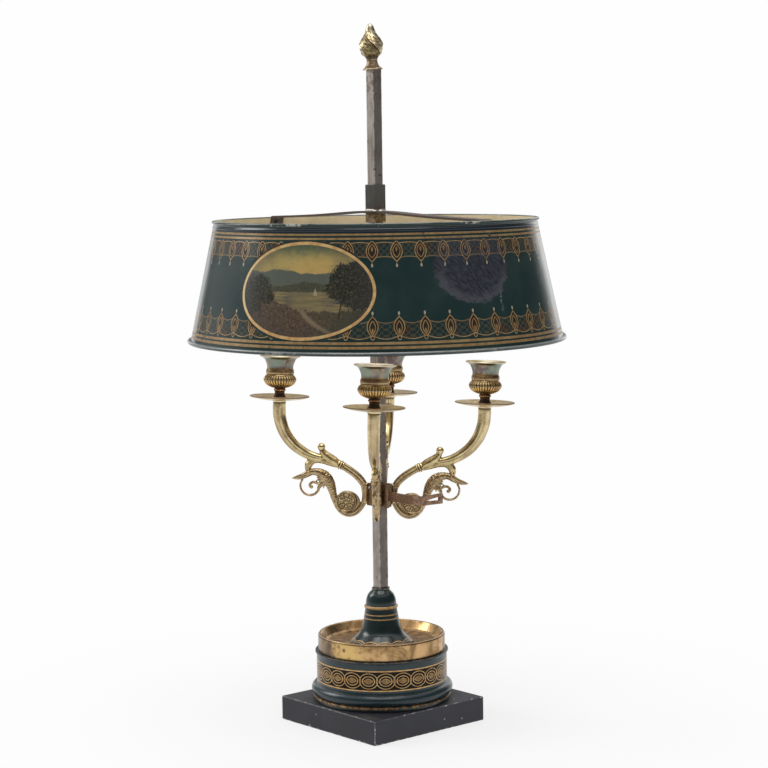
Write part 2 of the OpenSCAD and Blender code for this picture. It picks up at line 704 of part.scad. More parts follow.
// Urn under the nozzle; each knot is [radius, share of the height]
module urn(turn) {
    stem_r = urn_foot_r * 0.7;
    side = concat(
        [[urn_foot_r, 0], [urn_foot_r, 0.04]],
        spline([[urn_foot_r * 0.92, 0.07], [stem_r, 0.16], [stem_r, 0.28]], 3),
        [[urn_foot_r * 0.9, 0.33], [urn_foot_r * 0.9, 0.4], [stem_r * 1.1, 0.43]],
        spline([[urn_r * 0.55, 0.46], [urn_r * 0.86, 0.58], [urn_r, 0.76], [urn_r * 0.93, 0.9],
            [urn_r * 0.83, 0.97]], 3),
        [[urn_r * 0.83, 1]]);
    color("#9c7f3c")
    at_candle(turn) difference() {
        lathe(concat([[0, pan_top]], [for (p = side) [p[0], pan_top + p[1] * urn_h]],
            [[0, urn_top]]));
        for (i = [0:gadroons - 1]) rotate(i * 360 / gadroons) gadroon_groove();
        translate([0, 0, urn_top - sleeve_h - seat])
            cylinder(h = sleeve_h + 1, r = sleeve_r + seat);
        translate([0, 0, pan_top - 1])
            cylinder(h = stud_up + 1 + screw_gap, d = stud_d + 2 * screw_gap);
    }
}

// The groove between two gadroons, a round channel that follows the urn's bulge
module gadroon_groove() {
    bend_r = urn_r * 0.55;
    groove_r = urn_r * 0.07;
    translate([urn_r - bend_r + groove_r * 0.3, 0, pan_top + 0.73 * urn_h]) rotate([90, 0, 0])
        rotate(-75) rotate_extrude(angle = 130, $fn = 48)
            translate([bend_r, 0]) circle(r = groove_r, $fn = 16);
}

// Flared nozzle with a sleeve that plugs into the urn; knots as in the urn
module nozzle(turn) {
    band_r = urn_r * 0.85;
    neck_r = sleeve_r + 0.5;
    side = concat(
        [[band_r - 0.3, 0], [band_r, 0.02], [band_r, 0.19], [neck_r + 0.3, 0.21]],
        spline([[neck_r, 0.35], [neck_r * 1.08, 0.6], [lip_r * 0.78, 0.82], [lip_r * 0.97, 0.93]], 3),
        [[lip_r, 0.94], [lip_r, 1], [lip_r - 0.8, 1], [lip_r * 0.8, 0.9], [candle_r + 0.8, 0.83]]);
    color("#8f8455")
    at_candle(turn) difference() {
        lathe(concat([[0, urn_top - sleeve_h], [sleeve_r, urn_top - sleeve_h], [sleeve_r, urn_top]],
            [for (p = side) [p[0], urn_top + p[1] * nozzle_h]],
            [[candle_r - 1, rim_z - 0.2 * nozzle_h], [0, rim_z - 0.2 * nozzle_h]]));
        translate([0, 0, rim_z - candle_h]) cylinder(h = candle_h + 1, r = candle_r);
    }
}

module candle_studs() {
    color("#5d564c")
    for (turn = [FRONT, RIGHT, BACK, LEFT]) at_candle(turn)
        translate([0, 0, seat_z - stud_down + screw_gap])
            cylinder(h = pan_top + stud_up - seat_z + stud_down - screw_gap, d = stud_d);
}

// Radius of the shade's outer face at height z
function shade_r(z) = shade_bottom_r - (z - shade_z - bottom_roll_r) * tan(slope);

// Centres of the two rolled edges, [radius, height]
bottom_roll = [shade_bottom_r - shade_sheet + bottom_roll_r, shade_z + bottom_roll_r];
top_roll = [shade_top_r - shade_sheet + top_roll_r, shade_top - top_roll_r];
roll_turn = 285;

module shade_shell() {
    n = 14;
    color("#182b28")
    difference() {
        // up the outside and round the top edge, then down the inside and round the bottom edge
        lathe(concat(
            arc(top_roll, top_roll_r - shade_sheet, 180, 180 - roll_turn, n),
            arc(top_roll, top_roll_r, 180 - roll_turn, 180, n),
            arc(bottom_roll, bottom_roll_r, 180, 180 + roll_turn, n),
            arc(bottom_roll, bottom_roll_r - shade_sheet, 180 + roll_turn, 180, n)));
        at_rivets() cylinder(h = 8, d = rivet_d + 2 * seat, center = true);
    }
}

// The iron wires inside the rolled edges
module edge_wire(roll, r) {
    color("#55504a")
    translate([0, 0, roll[1]]) rotate_extrude()
        translate([roll[0], 0]) circle(r = r - shade_sheet - wire_gap);
}

// Puts a piece at each rivet, on the shade's outer face with +Z pointing out of it
module at_rivets() {
    for (end = [90, -90], z = [0.36, 0.78] * strap_foot)
        rotate(end) translate([shade_r(shade_top - z), 0, shade_top - z])
            rotate([0, 90 - slope, 0]) children();
}

module strap_rivets() {
    grip = shade_sheet * cos(slope) + foot_gap + strap_t;
    head_h = 1.2;
    color("#5b5048")
    at_rivets() {
        translate([0, 0, -grip - seat]) cylinder(h = grip - 2 * seat, d = rivet_d);
        translate([0, 0, -grip - seat - head_h]) cylinder(h = head_h, d = rivet_d + 2.6);
    }
}

// Distance of the middle of a strap's foot from the stem's axis at height z
function foot_y(z) =
    shade_r(z) - shade_sheet - (foot_gap + strap_t / 2) / cos(slope);

module shade_strap() {
    mid_z = strap_z - strap_t / 2;
    bend_r = strap_t / 2 + 1.4;
    out = [cos(slope), sin(slope)];
    bend = [foot_y(shade_top - 2), shade_top - 2] - bend_r * out;
    drop = mid_z - bend[1] - bend_r;
    half = concat(
        spline([[0, mid_z], [bend[0] * 0.16, mid_z - drop * 0.06],
            [bend[0] * 0.55, mid_z - drop * 0.62], [bend[0] * 0.94, mid_z - drop * 0.97]], 4),
        arc(bend, bend_r, 84, slope, 5),
        [[foot_y(shade_top - strap_foot), shade_top - strap_foot]]);
    path = concat([for (i = [len(half) - 1:-1:1]) [-half[i][0], half[i][1]]], half);
    color("#4d443e")
    difference() {
        union() {
            upright(ribbon(path, strap_t), strap_w, 90);
            translate([0, 0, mid_z]) cylinder(h = strap_t, r = eye_r, center = true);
        }
        translate([0, 0, mid_z])
            cube([sheath_side + 2 * seat, sheath_side + 2 * seat, 4 * strap_t], center = true);
        at_rivets() cylinder(h = 20, d = rivet_d + 2 * seat, center = true);
    }
}

sheath_in = sheath_side - 2 * sheath_wall;
sheath_low = strap_z - strap_t - sheath_down;
sheath_high = strap_z + sheath_up;

module sheath() {
    color("#2f3633")
    translate([0, 0, (sheath_low + sheath_high) / 2]) difference() {
        cube([sheath_side, sheath_side, sheath_high - sheath_low], center = true);
        cube([sheath_in, sheath_in, 2 * sheath_high], center = true);
    }
}

// A leaf spring inside the sheath, hooked over both of its ends
module sheath_spring() {
    x = -sheath_in / 2;
    low = sheath_low - seat;
    high = sheath_high + seat;
    color("#7a746c")
    upright([
        [x + seat, low], [x - sheath_wall, low], [x - sheath_wall, low - spring_t],
        [x + spring_t, low - spring_t], [x + spring_t, high + spring_t],
        [x - sheath_wall, high + spring_t], [x - sheath_wall, high], [x + seat, high]],
        spring_w, 0);
}

plinth();
drum();
ballast();
tray();
pedestal();
stem();
stem_nut();
stem_washer();
finial();
hub();
lever_pin();
clamp_lever();
arm(FRONT);  // arm_front
arm(RIGHT);  // arm_right
arm(BACK);  // arm_back
arm(LEFT);  // arm_left
drip_pan(FRONT);  // drip_pan_front
drip_pan(RIGHT);  // drip_pan_right
drip_pan(BACK);  // drip_pan_back
drip_pan(LEFT);  // drip_pan_left
urn(FRONT);  // urn_front
urn(RIGHT);  // urn_right
urn(BACK);  // urn_back
urn(LEFT);  // urn_left
nozzle(FRONT);  // nozzle_front
nozzle(RIGHT);  // nozzle_right
nozzle(BACK);  // nozzle_back
nozzle(LEFT);  // nozzle_left
candle_studs();
shade_shell();
edge_wire(top_roll, top_roll_r);  // shade_top_wire
edge_wire(bottom_roll, bottom_roll_r);  // shade_bottom_wire
shade_strap();
strap_rivets();
sheath();
sheath_spring();
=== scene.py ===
"""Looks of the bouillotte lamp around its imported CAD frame.

Metres, +Z up. Profiles and knots are written in millimetres and scaled by MM. Round pieces are
high-resolution lathes in place of their CAD nodes, the four branches share one sculpted mesh,
and the straight iron pieces are the CAD nodes themselves with softened edges.
"""

import math

import bpy
import numpy as np
from mathutils import Matrix, Vector


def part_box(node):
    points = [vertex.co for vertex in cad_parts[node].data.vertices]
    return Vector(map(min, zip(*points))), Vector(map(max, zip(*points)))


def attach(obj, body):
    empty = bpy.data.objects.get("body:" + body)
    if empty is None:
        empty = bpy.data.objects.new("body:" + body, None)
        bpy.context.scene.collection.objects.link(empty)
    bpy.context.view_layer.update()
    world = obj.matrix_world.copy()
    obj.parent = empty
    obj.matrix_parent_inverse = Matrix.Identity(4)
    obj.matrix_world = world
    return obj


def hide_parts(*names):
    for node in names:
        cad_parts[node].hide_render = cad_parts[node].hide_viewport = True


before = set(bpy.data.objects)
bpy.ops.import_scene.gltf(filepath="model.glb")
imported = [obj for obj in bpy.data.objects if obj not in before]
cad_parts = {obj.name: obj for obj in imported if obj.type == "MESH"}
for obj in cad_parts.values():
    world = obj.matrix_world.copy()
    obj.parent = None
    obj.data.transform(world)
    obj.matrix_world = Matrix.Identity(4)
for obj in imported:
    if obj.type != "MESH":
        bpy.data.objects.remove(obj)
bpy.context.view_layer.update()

MM = 0.001
TAU = 2 * math.pi
ARMS = {"front": -135, "right": -45, "back": 45, "left": 135}


# ---- sizes, from the frame, in mm

def low(node):
    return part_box(node)[0].z / MM


def top(node):
    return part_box(node)[1].z / MM


def radius(node):
    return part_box(node)[1].y / MM


DRUM_MOULDING = 5.6
SCREW_H = 10
PLINTH_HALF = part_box("plinth")[1].x / MM
PLINTH_TOP = top("plinth")
DRUM_TOP = top("drum")
DRUM_R = radius("drum") - DRUM_MOULDING
TRAY_TOP = top("tray")
TRAY_R = radius("tray")
DISH_Z = low("pedestal")
BELL_H = top("pedestal") - DISH_Z
BELL_FOOT_R = radius("pedestal")
STEM_TOP = top("stem") - SCREW_H
HUB_Z = (top("hub") + low("hub")) / 2
HUB_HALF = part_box("hub")[1].y / MM
SHADE_LOW = low("shade_shell")
SHADE_TOP = top("shade_shell")
SHEATH_LOW = low("sheath")
SHEATH_SIDE = 2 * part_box("sheath")[1].x / MM


def half_width(node):
    lo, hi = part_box(node)
    return (hi.y - lo.y) / 2 / MM


def pan_middle(name):
    lo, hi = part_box("drip_pan_" + name)
    return (lo + hi) / 2 / MM


# the hub is loose on the stem, so the four branches lean together towards +X
ARM_REACH = (pan_middle("left") - pan_middle("right")).y / math.sqrt(2)
LEAN = math.atan2((pan_middle("left") - pan_middle("right")).z,
                  (pan_middle("right") - pan_middle("left")).x)


def above_hub(kind, face_r, upper):
    """Height over the hub's middle, along the lean, of a round end face of radius face_r."""
    ends = [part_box(f"{kind}_{name}")[1 if upper else 0].z / MM for name in ARMS]
    tilt = face_r * math.sin(LEAN) * (-1 if upper else 1)
    return (sum(ends) / len(ends) - HUB_Z + tilt) / math.cos(LEAN)


PAN_BOSS_R = 6.9
URN_FOOT_R = 7.2
PAN_R = half_width("drip_pan_front")
URN_R = half_width("urn_front")
LIP_R = half_width("nozzle_front")
SEAT_H = above_hub("drip_pan", PAN_BOSS_R, False)
URN_FOOT_H = above_hub("urn", URN_FOOT_R, False)
URN_TOP_H = above_hub("urn", URN_R * 0.83, True)
RIM_H = above_hub("nozzle", LIP_R, True)
LEANING = Matrix.Translation((0, 0, HUB_Z * MM)) @ Matrix.Rotation(LEAN, 4, "Y")

# on each branch: the rosette's middle and radius, the radius of the ring under the beak in
# hundredths of the reach, and the collar's slant
ROSE_X = 0.322 * ARM_REACH
ROSE_Z = -0.09 * SEAT_H
ROSE_R = 10.5
RING_R = 9.4
COLLAR_SLANT = math.radians(30)

# the finial stands askew, and its leaves spread it beyond the bud's own radius
LEAF_SPREAD = 1.07
FINIAL_R = half_width("finial") / LEAF_SPREAD
FINIAL_OFF = ((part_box("finial")[0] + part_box("finial")[1]) / 2 / MM).xy
FINIAL_SHIFT = 1
FINIAL_LEAN = math.atan2(FINIAL_OFF.length - FINIAL_SHIFT, 0.46 * (top("finial") - STEM_TOP))
FINIAL_H = (top("finial") - STEM_TOP) / math.cos(FINIAL_LEAN) + 0.25

# the direction from which the camera sees the lamp, as an angle round the stem
VIEW_ANGLE = -130.7


# ---- writing shaders as formulas

class Val:
    """A value in a node graph; arithmetic on it adds Math nodes."""

    def __init__(self, graph, socket):
        self.graph, self.socket = graph, socket

    def step(self, a, b):
        """0 at a, 1 at b, smooth between; a may be the larger one."""
        node = self.graph.add("ShaderNodeMapRange", {
            "Value": self, "From Min": a, "From Max": b}, interpolation_type="SMOOTHSTEP")
        return Val(self.graph, node.outputs["Result"])

    def line(self, width, soft=0.12):
        """1 where the value is within half a width of nought."""
        return abs(self).step(width / 2 + soft, width / 2 - soft)

    def past(self, direction):
        """How far an angle is past a direction, in turns from -0.5 to 0.5."""
        return ((self - direction + 180) / 360).fract() - 0.5


def add_operation(name, kind):
    """Gives Val an operation that adds a Math node; the __r names take its values swapped."""
    def method(self, *rest):
        return self.graph.math(kind, *(rest + (self,) if name.startswith("__r") else (self,) + rest))
    setattr(Val, name, method)


for name, kind in {"__add__": "ADD", "__sub__": "SUBTRACT", "__rsub__": "SUBTRACT",
                   "__mul__": "MULTIPLY", "__truediv__": "DIVIDE", "__pow__": "POWER",
                   "__abs__": "ABSOLUTE", "fract": "FRACT", "least": "MINIMUM",
                   "most": "MAXIMUM"}.items():
    add_operation(name, kind)
Val.__radd__, Val.__rmul__ = Val.__add__, Val.__mul__


def squares(a, b):
    return a ** 2 + b ** 2


class Graph:
    """A material's node tree, with its object coordinates at hand in mm.

    In the world's tree the same numbers are a direction, 1000 long.
    """

    def __init__(self, name, world=None):
        self.material = world or bpy.data.materials.new(name)
        self.material.use_nodes = True
        self.tree = self.material.node_tree
        self.tree.nodes.clear()
        place = self.add("ShaderNodeTexCoord")
        metres = Val(self, place.outputs["Generated" if world else "Object"])
        scale = self.add("ShaderNodeVectorMath", {0: metres, "Scale": 1 / MM}, operation="SCALE")
        self.point = Val(self, scale.outputs["Vector"])
        split = self.add("ShaderNodeSeparateXYZ", {0: self.point})
        self.x, self.y, self.z = (Val(self, s) for s in split.outputs)

    def add(self, kind, inputs=None, **settings):
        node = self.tree.nodes.new(kind)
        for key, value in settings.items():
            setattr(node, key, value)
        for key, value in (inputs or {}).items():
            self.plug(node.inputs[key], value)
        return node

    def plug(self, socket, value):
        if isinstance(value, Val):
            self.tree.links.new(value.socket, socket)
        elif socket.type == "RGBA" and len(value) == 3:
            socket.default_value = (*value, 1)
        else:
            socket.default_value = value

    def math(self, kind, *values):
        node = self.add("ShaderNodeMath", dict(enumerate(values)), operation=kind)
        return Val(self, node.outputs[0])

    def mix(self, share, a, b):
        """Colour a where share is 0, b where it is 1."""
        node = self.add("ShaderNodeMix", {0: share, 6: a, 7: b}, data_type="RGBA")
        return Val(self, node.outputs[2])

    def tint(self, colour, factor):
        """A colour times a number."""
        node = self.add("ShaderNodeVectorMath", {0: colour, "Scale": factor}, operation="SCALE")
        return Val(self, node.outputs["Vector"])

    def vector(self, x, y, z):
        node = self.add("ShaderNodeCombineXYZ", {0: x, 1: y, 2: z})
        return Val(self, node.outputs[0])

    def noise(self, size, detail=3, rough=0.55, at=None, warp=0):
        """Cloudy noise from 0 to 1 whose blotches are about size mm across."""
        node = self.add("ShaderNodeTexNoise", {
            "Vector": at or self.point, "Scale": 1 / size, "Detail": detail,
            "Roughness": rough, "Distortion": warp})
        return Val(self, node.outputs[0])

    def cells(self, size):
        """Distance to the nearest of scattered points about size mm apart."""
        node = self.add("ShaderNodeTexVoronoi", {"Vector": self.point, "Scale": 1 / size})
        return Val(self, node.outputs["Distance"])

    def stretched(self, x=1, y=1, z=1, at=None):
        """The point with its axes scaled, for streaks and grain."""
        node = self.add("ShaderNodeVectorMath", {0: at or self.point, 1: (x, y, z)},
                        operation="MULTIPLY")
        return Val(self, node.outputs[0])

    def polar(self):
        """(angle in degrees, distance from the axis in mm) round the object's Z axis."""
        angle = self.math("ARCTAN2", self.y, self.x) * math.degrees(1)
        return angle, (self.x * self.x + self.y * self.y) ** 0.5

    def right_face_for_painted_light(self):
        """1 on the square pieces' faces that are turned to the camera's right, where light and shade are
        painted.
        """
        return (self.y - self.x).step(0.25, -0.25)

    def ramp(self, share, stops):
        """A number read off a list of (share, number) stops."""
        node = self.add("ShaderNodeValToRGB", {"Fac": share})
        elements = node.color_ramp.elements
        while len(elements) < len(stops):
            elements.new(0.5)
        for element, (at, value) in zip(elements, stops):
            element.position = at
            element.color = (value, value, value, 1)
        return Val(self, node.outputs["Color"])

    def cavity(self):
        """How hollow the surface is, 0.5 on a flat, stored on the sculpted meshes."""
        node = self.add("ShaderNodeAttribute", attribute_name="cavity")
        return Val(self, node.outputs["Fac"])

    def bump(self, height, depth, under=None):
        """A normal from a height of 0 to 1 that is depth mm deep."""
        inputs = {"Height": height, "Distance": depth * MM, "Strength": 1}
        if under is not None:
            inputs["Normal"] = under
        return Val(self, self.add("ShaderNodeBump", inputs).outputs["Normal"])

    def coat(self, share, colour):
        """Lays a colour over the material's colour so far, where share is 1."""
        self.colour = self.mix(share, self.colour, colour)

    def surface(self, rough, metal, normal, specular=0.5):
        """The material, with the colour laid so far."""
        return self.output(self.add("ShaderNodeBsdfPrincipled", {
            "Base Color": self.colour, "Roughness": rough, "Metallic": metal,
            "Specular IOR Level": specular, "Normal": normal}))

    def output(self, shader, kind="ShaderNodeOutputMaterial"):
        out = self.add(kind)
        self.tree.links.new(shader.outputs[0], out.inputs["Surface"])
        return self.material


# ---- mesh building

def smooth_line(points, steps):
    """A Catmull-Rom curve through points, steps to each stretch."""
    k = np.array(points, float)
    line = []
    for i in range(len(k) - 1):
        a, b, c, d = k[max(i - 1, 0)], k[i], k[i + 1], k[min(i + 2, len(k) - 1)]
        for t in np.arange(steps) / steps:
            line.append(0.5 * (2 * b + (c - a) * t + (2 * a - 5 * b + 4 * c - d) * t ** 2
                               + (3 * b - a - 3 * c + d) * t ** 3))
    return [tuple(p) for p in line] + [tuple(k[-1])]


def arc(centre, r, start, end, steps):
    """Points on a round stretch of an outline, angles in degrees."""
    angles = np.radians(np.linspace(start, end, steps + 1))
    return [(centre[0] + r * math.cos(a), centre[1] + r * math.sin(a)) for a in angles]


def soften(outline, cut, steps=3):
    """An open outline with every inner corner rounded over at most cut mm."""
    p = [np.array(q, float) for q in outline]
    line = [p[0]]
    for a, b, c in zip(p, p[1:], p[2:]):
        before, after = np.linalg.norm(a - b), np.linalg.norm(c - b)
        start = b + (a - b) * min(cut / max(before, 1e-9), 0.45)
        end = b + (c - b) * min(cut / max(after, 1e-9), 0.45)
        for t in np.linspace(0, 1, steps + 1):
            line.append((1 - t) ** 2 * start + 2 * t * (1 - t) * b + t ** 2 * end)
    return [tuple(q) for q in line + [p[-1]]]


def make_mesh(name, verts, faces):
    mesh = bpy.data.meshes.new(name)
    mesh.from_pydata((np.array(verts, float) * MM).tolist(), [], faces)
    mesh.validate()
    mesh.polygons.foreach_set("use_smooth", np.ones(len(mesh.polygons), bool))
    mesh.update()
    return mesh


def ring_faces(rows, turns, closed=False):
    """Quads between rows of points that each run once round, capped unless they close up."""
    faces = []
    for i in range(rows if closed else rows - 1):
        for j in range(turns):
            a, b = i * turns + j, i * turns + (j + 1) % turns
            c, d = (i + 1) % rows * turns + (j + 1) % turns, (i + 1) % rows * turns + j
            faces.append((a, b, c, d))
    if not closed:
        faces.append(tuple(range(turns))[::-1])
        faces.append(tuple(range((rows - 1) * turns, rows * turns)))
    return faces


def around(turns):
    """Angles of one turn, as a row."""
    return np.arange(turns)[None, :] * TAU / turns


def lathe(name, outline, turns=192, relief=None):
    """A closed ring-shaped outline of (radius, height) in mm, turned round the Z axis.

    relief(radius, height, angle) gives how far each point moves outwards.
    """
    r, z = (np.repeat(np.array(c, float)[:, None], turns, 1) for c in zip(*outline))
    angle = around(turns) + 0 * r
    if relief is not None:
        r = r + relief(r, z, angle)
    verts = np.stack([r * np.cos(angle), r * np.sin(angle), z], -1).reshape(-1, 3)
    return make_mesh(name, verts, ring_faces(len(outline), turns, True))


def unit(x):
    return np.clip(x, 0, 1)


def hill(x, half):
    """1 where x is 0, down to 0 at half either side, rounded."""
    return unit(1 - (x / half) ** 2)


def swell(x, wide):
    """1 where x is 0, fading either side."""
    return np.exp(-(x / wide) ** 2)


def sharpen(mesh, degrees=40):
    mesh.set_sharp_from_angle(angle=math.radians(degrees))
    return mesh


def read(data, name, width, kind=float):
    """A named value of every vertex or edge, one row each."""
    values = np.zeros(len(data) * width, kind)
    data.foreach_get(name, values)
    return values.reshape(-1, width)


def store(mesh, name, values):
    layer = mesh.attributes.new(name, "FLOAT", "POINT")
    layer.data.foreach_set("value", values.astype(np.float32).ravel())


def put(name, data):
    """A new object in the scene."""
    obj = bpy.data.objects.new(name, data)
    bpy.context.scene.collection.objects.link(obj)
    return obj


def store_cavity(mesh, spread, gain):
    """Keeps on each vertex how hollow the surface is round it, 0.5 on a flat."""
    co, normal = read(mesh.vertices, "co", 3), read(mesh.vertices, "normal", 3)
    a, b = read(mesh.edges, "vertices", 2, int).T
    degree = np.bincount(np.concatenate([a, b]), minlength=len(co)).clip(1)

    def neighbours(values):
        total = np.zeros_like(values)
        np.add.at(total, a, values[b])
        np.add.at(total, b, values[a])
        return total / degree.reshape(-1, *[1] * (values.ndim - 1))

    wide = co
    for _ in range(spread):
        wide = neighbours(wide)
    hollow = ((wide - co) * normal).sum(1) / MM * gain
    for _ in range(2):
        hollow = (hollow + neighbours(hollow)) / 2
    store(mesh, "cavity", unit(0.5 + hollow))
    return mesh


def piece(name, mesh, body, material, replaces=(), place=None):
    """Places a mesh as a piece that rides on a body and stands for CAD nodes."""
    obj = put(name, mesh)
    if place is not None:
        obj.matrix_world = place
    if not mesh.materials:
        mesh.materials.append(material)
    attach(obj, body)
    if replaces:
        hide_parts(*replaces)
    return obj


def four_pieces(kind, mesh, material, node, reach=0, height=0):
    """One piece to each branch, in place of the nodes named node_front and so on."""
    for name, turn in ARMS.items():
        piece(f"{kind}_{name}", mesh, "branches", material, [f"{node}_{name}"],
              LEANING @ Matrix.Rotation(math.radians(turn), 4, "Z")
              @ Matrix.Translation((reach * MM, 0, height * MM)))


def dress(node, material, edge=0.35, segments=3):
    """Gives a CAD node its material and slightly rounded edges."""
    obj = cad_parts[node]
    obj.data.materials.clear()
    obj.data.materials.append(material)
    obj.modifiers.new("weld", "WELD").merge_threshold = 0.01 * MM
    if edge:
        bevel = obj.modifiers.new("edge", "BEVEL")
        bevel.width = edge * MM
        bevel.segments = segments
        bevel.limit_method = "ANGLE"
        bevel.angle_limit = math.radians(35)
    obj.modifiers.new("normals", "WEIGHTED_NORMAL").keep_sharp = True
    obj.data.polygons.foreach_set("use_smooth", np.ones(len(obj.data.polygons), bool))
    return obj


# ---- metals

def patina(g, bright, dull, tinge, dark, blotch=14, recess=(0.5, 0.66)):
    """Lays old brass, three tones in clouds and dark hollows; gives (hollow, cloud)."""
    cloud = g.noise(blotch, 4, 0.6, warp=0.6)
    other = g.noise(blotch * 0.7, 3, 0.6, at=g.stretched(1, 1, 0.6), warp=0.4)
    fine = g.noise(blotch / 8, 3, 0.6)
    g.colour = g.mix(cloud.step(0.38, 0.64), bright, dull)
    g.coat(other.step(0.48, 0.68) * 0.8, tinge)
    g.coat(fine.step(0.5, 0.8) * 0.35, g.tint(g.colour, 0.6))
    shape = g.cavity() + (fine - 0.5) * 0.12
    hollow = shape.step(*recess)
    high = shape.step(0.46, 0.34)
    g.coat(hollow * 0.94, dark)
    g.coat(high * 0.5, g.tint(bright, 1.25))
    return hollow, cloud


def aged_metal(name, bright, dull, tinge, dark, rough=0.28, blotch=14, recess=(0.5, 0.66),
               spots=0):
    """Old brass as one material, with dark spots if wanted."""
    g = Graph(name)
    hollow, cloud = patina(g, bright, dull, tinge, dark, blotch, recess)
    roughness = rough - 0.06 + cloud * 0.16 + hollow * 0.3
    metal = 1 - hollow * 0.5
    if spots:
        pits = g.cells(6.5).step(0.26, 0.12) * g.noise(22, 2).step(0.62 - spots, 0.78 - spots)
        g.coat(pits, (0.03, 0.02, 0.012))
        roughness = roughness + pits * 0.3
        metal = metal - pits * 0.7
    waves = g.noise(5, 2, 0.5) + g.noise(0.8, 3, 0.6) * 0.12
    return g.surface(roughness, metal, g.bump(waves, 0.12))


def branch_metal():
    """Cast brass: olive and gold on the horn, browner on the swan and the scroll."""
    g = Graph("branch_brass")
    hollow, cloud = patina(
        g, (0.7, 0.57, 0.31), (0.52, 0.41, 0.2), (0.42, 0.3, 0.15), (0.06, 0.036, 0.018), 15,
        (0.56, 0.84))
    # painted reflections along the horn's bend: purple-brown dark streaks and pale highlight streaks, and
    # the outer side of the bend painted darker as shade
    out_x = g.x - 0.56 * ARM_REACH
    out_z = (g.z - 0.93 * SEAT_H).least(0)
    bend = (out_x * out_x + out_z * out_z) ** 0.5
    turn = g.math("ARCTAN2", out_x, out_z * -1)
    reflection_streaks = g.noise(1, 3, 0.55, at=g.vector(bend * 0.3, g.y * 0.3, turn * 1.4))
    horn = g.z.step(34, 42) * (g.z - SEAT_H + 2).step(0, -2)
    g.coat(reflection_streaks.step(0.5, 0.66) * horn * 0.75, (0.26, 0.18, 0.145))
    g.coat(reflection_streaks.step(0.46, 0.34) * horn * 0.6, (0.84, 0.72, 0.46))
    g.coat((bend - 48 + (cloud - 0.5) * 3).step(0, 4.5) * horn * 0.5, (0.34, 0.24, 0.15))
    lower = g.z.step(29, 22)
    slant = g.noise(1, 3, 0.6, at=g.vector((g.x + g.z) * 0.3, g.y * 0.2, (g.x - g.z) * 0.07))
    brown = g.mix(slant.step(0.4, 0.62), (0.5, 0.37, 0.21), (0.3, 0.2, 0.11))
    rose = (squares(g.x - ROSE_X, g.z - ROSE_Z) ** 0.5).step(ROSE_R, ROSE_R - 1.5)
    brown = g.mix(hollow * (0.8 - rose * 0.25), brown, (0.06, 0.036, 0.02))
    g.coat(lower * 0.8, brown)
    # the seam under the drip pan
    seam = (g.z - (SEAT_H - 0.5)).line(0.7, 0.3)
    g.coat(seam * 0.85, (0.03, 0.02, 0.015))
    streak = g.noise(3, 3, 0.6, at=g.stretched(0.3, 1, 0.3)).step(0.55, 0.75)
    g.coat(streak * (0.35 - horn * 0.3), (0.2, 0.15, 0.09))
    roughness = 0.18 + cloud * 0.12 + hollow * 0.3 + lower * 0.08
    waves = g.noise(6, 2, 0.5) + g.noise(0.9, 3, 0.6) * 0.08
    return g.surface(roughness, 1 - hollow * 0.5, g.bump(waves, 0.07))


def urn_metal():
    """Cast brass, gold on the gadroons and coppery brown on the foot."""
    g = Graph("urn_brass")
    hollow, cloud = patina(
        g, (0.43, 0.32, 0.165), (0.27, 0.185, 0.095), (0.22, 0.135, 0.075), (0.04, 0.024, 0.014), 9,
        (0.5, 0.62))
    foot = g.z.step(11.4, 10.4)
    copper = g.mix(g.noise(4, 4, 0.6).step(0.4, 0.64), (0.42, 0.23, 0.12), (0.2, 0.105, 0.06))
    copper = g.mix(hollow, copper, (0.03, 0.015, 0.01))
    g.coat(foot * 0.8, copper)
    roughness = 0.22 + cloud * 0.14 + hollow * 0.3
    return g.surface(roughness, 1 - hollow * 0.5, g.bump(g.noise(1.6, 3), 0.04))


def nozzle_metal():
    """Turned brass heated by the candle: green and purple on the neck, the lip painted pale as a
    highlight and as brass rubbed bright.
    """
    g = Graph("nozzle_brass")
    height = RIM_H - URN_TOP_H
    cloud = g.noise(8, 4, 0.6, warp=0.8)
    side = g.noise(14, 3, 0.5, at=g.stretched(1, 1, 0.4))
    g.colour = g.mix(cloud.step(0.4, 0.6), (0.3, 0.25, 0.19), (0.17, 0.14, 0.13))
    g.coat(side.step(0.52, 0.62) * 0.7, (0.21, 0.28, 0.22))
    g.coat(side.step(0.47, 0.36) * 0.75, (0.17, 0.125, 0.14))
    band = (g.z + (cloud - 0.5) * 3).step(7.4, 6.2)
    g.coat(band * 0.85, g.mix(cloud.step(0.42, 0.6), (0.44, 0.31, 0.16), (0.27, 0.18, 0.1)))
    # the lip is painted pale cream, a painted highlight as well as brass rubbed bright
    lip = g.z.step(height - 2.2, height - 0.8)
    g.coat(lip * 0.9, (0.82, 0.73, 0.53))
    joint = (g.z - 4.1).line(0.5, 0.3)
    g.coat(joint * 0.7, (0.05, 0.035, 0.02))
    rings = g.noise(0.7, 2, 0.5, at=g.vector(g.z * 2, 0, 0))
    return g.surface(0.24 + cloud * 0.16, 1, g.bump(rings, 0.02))


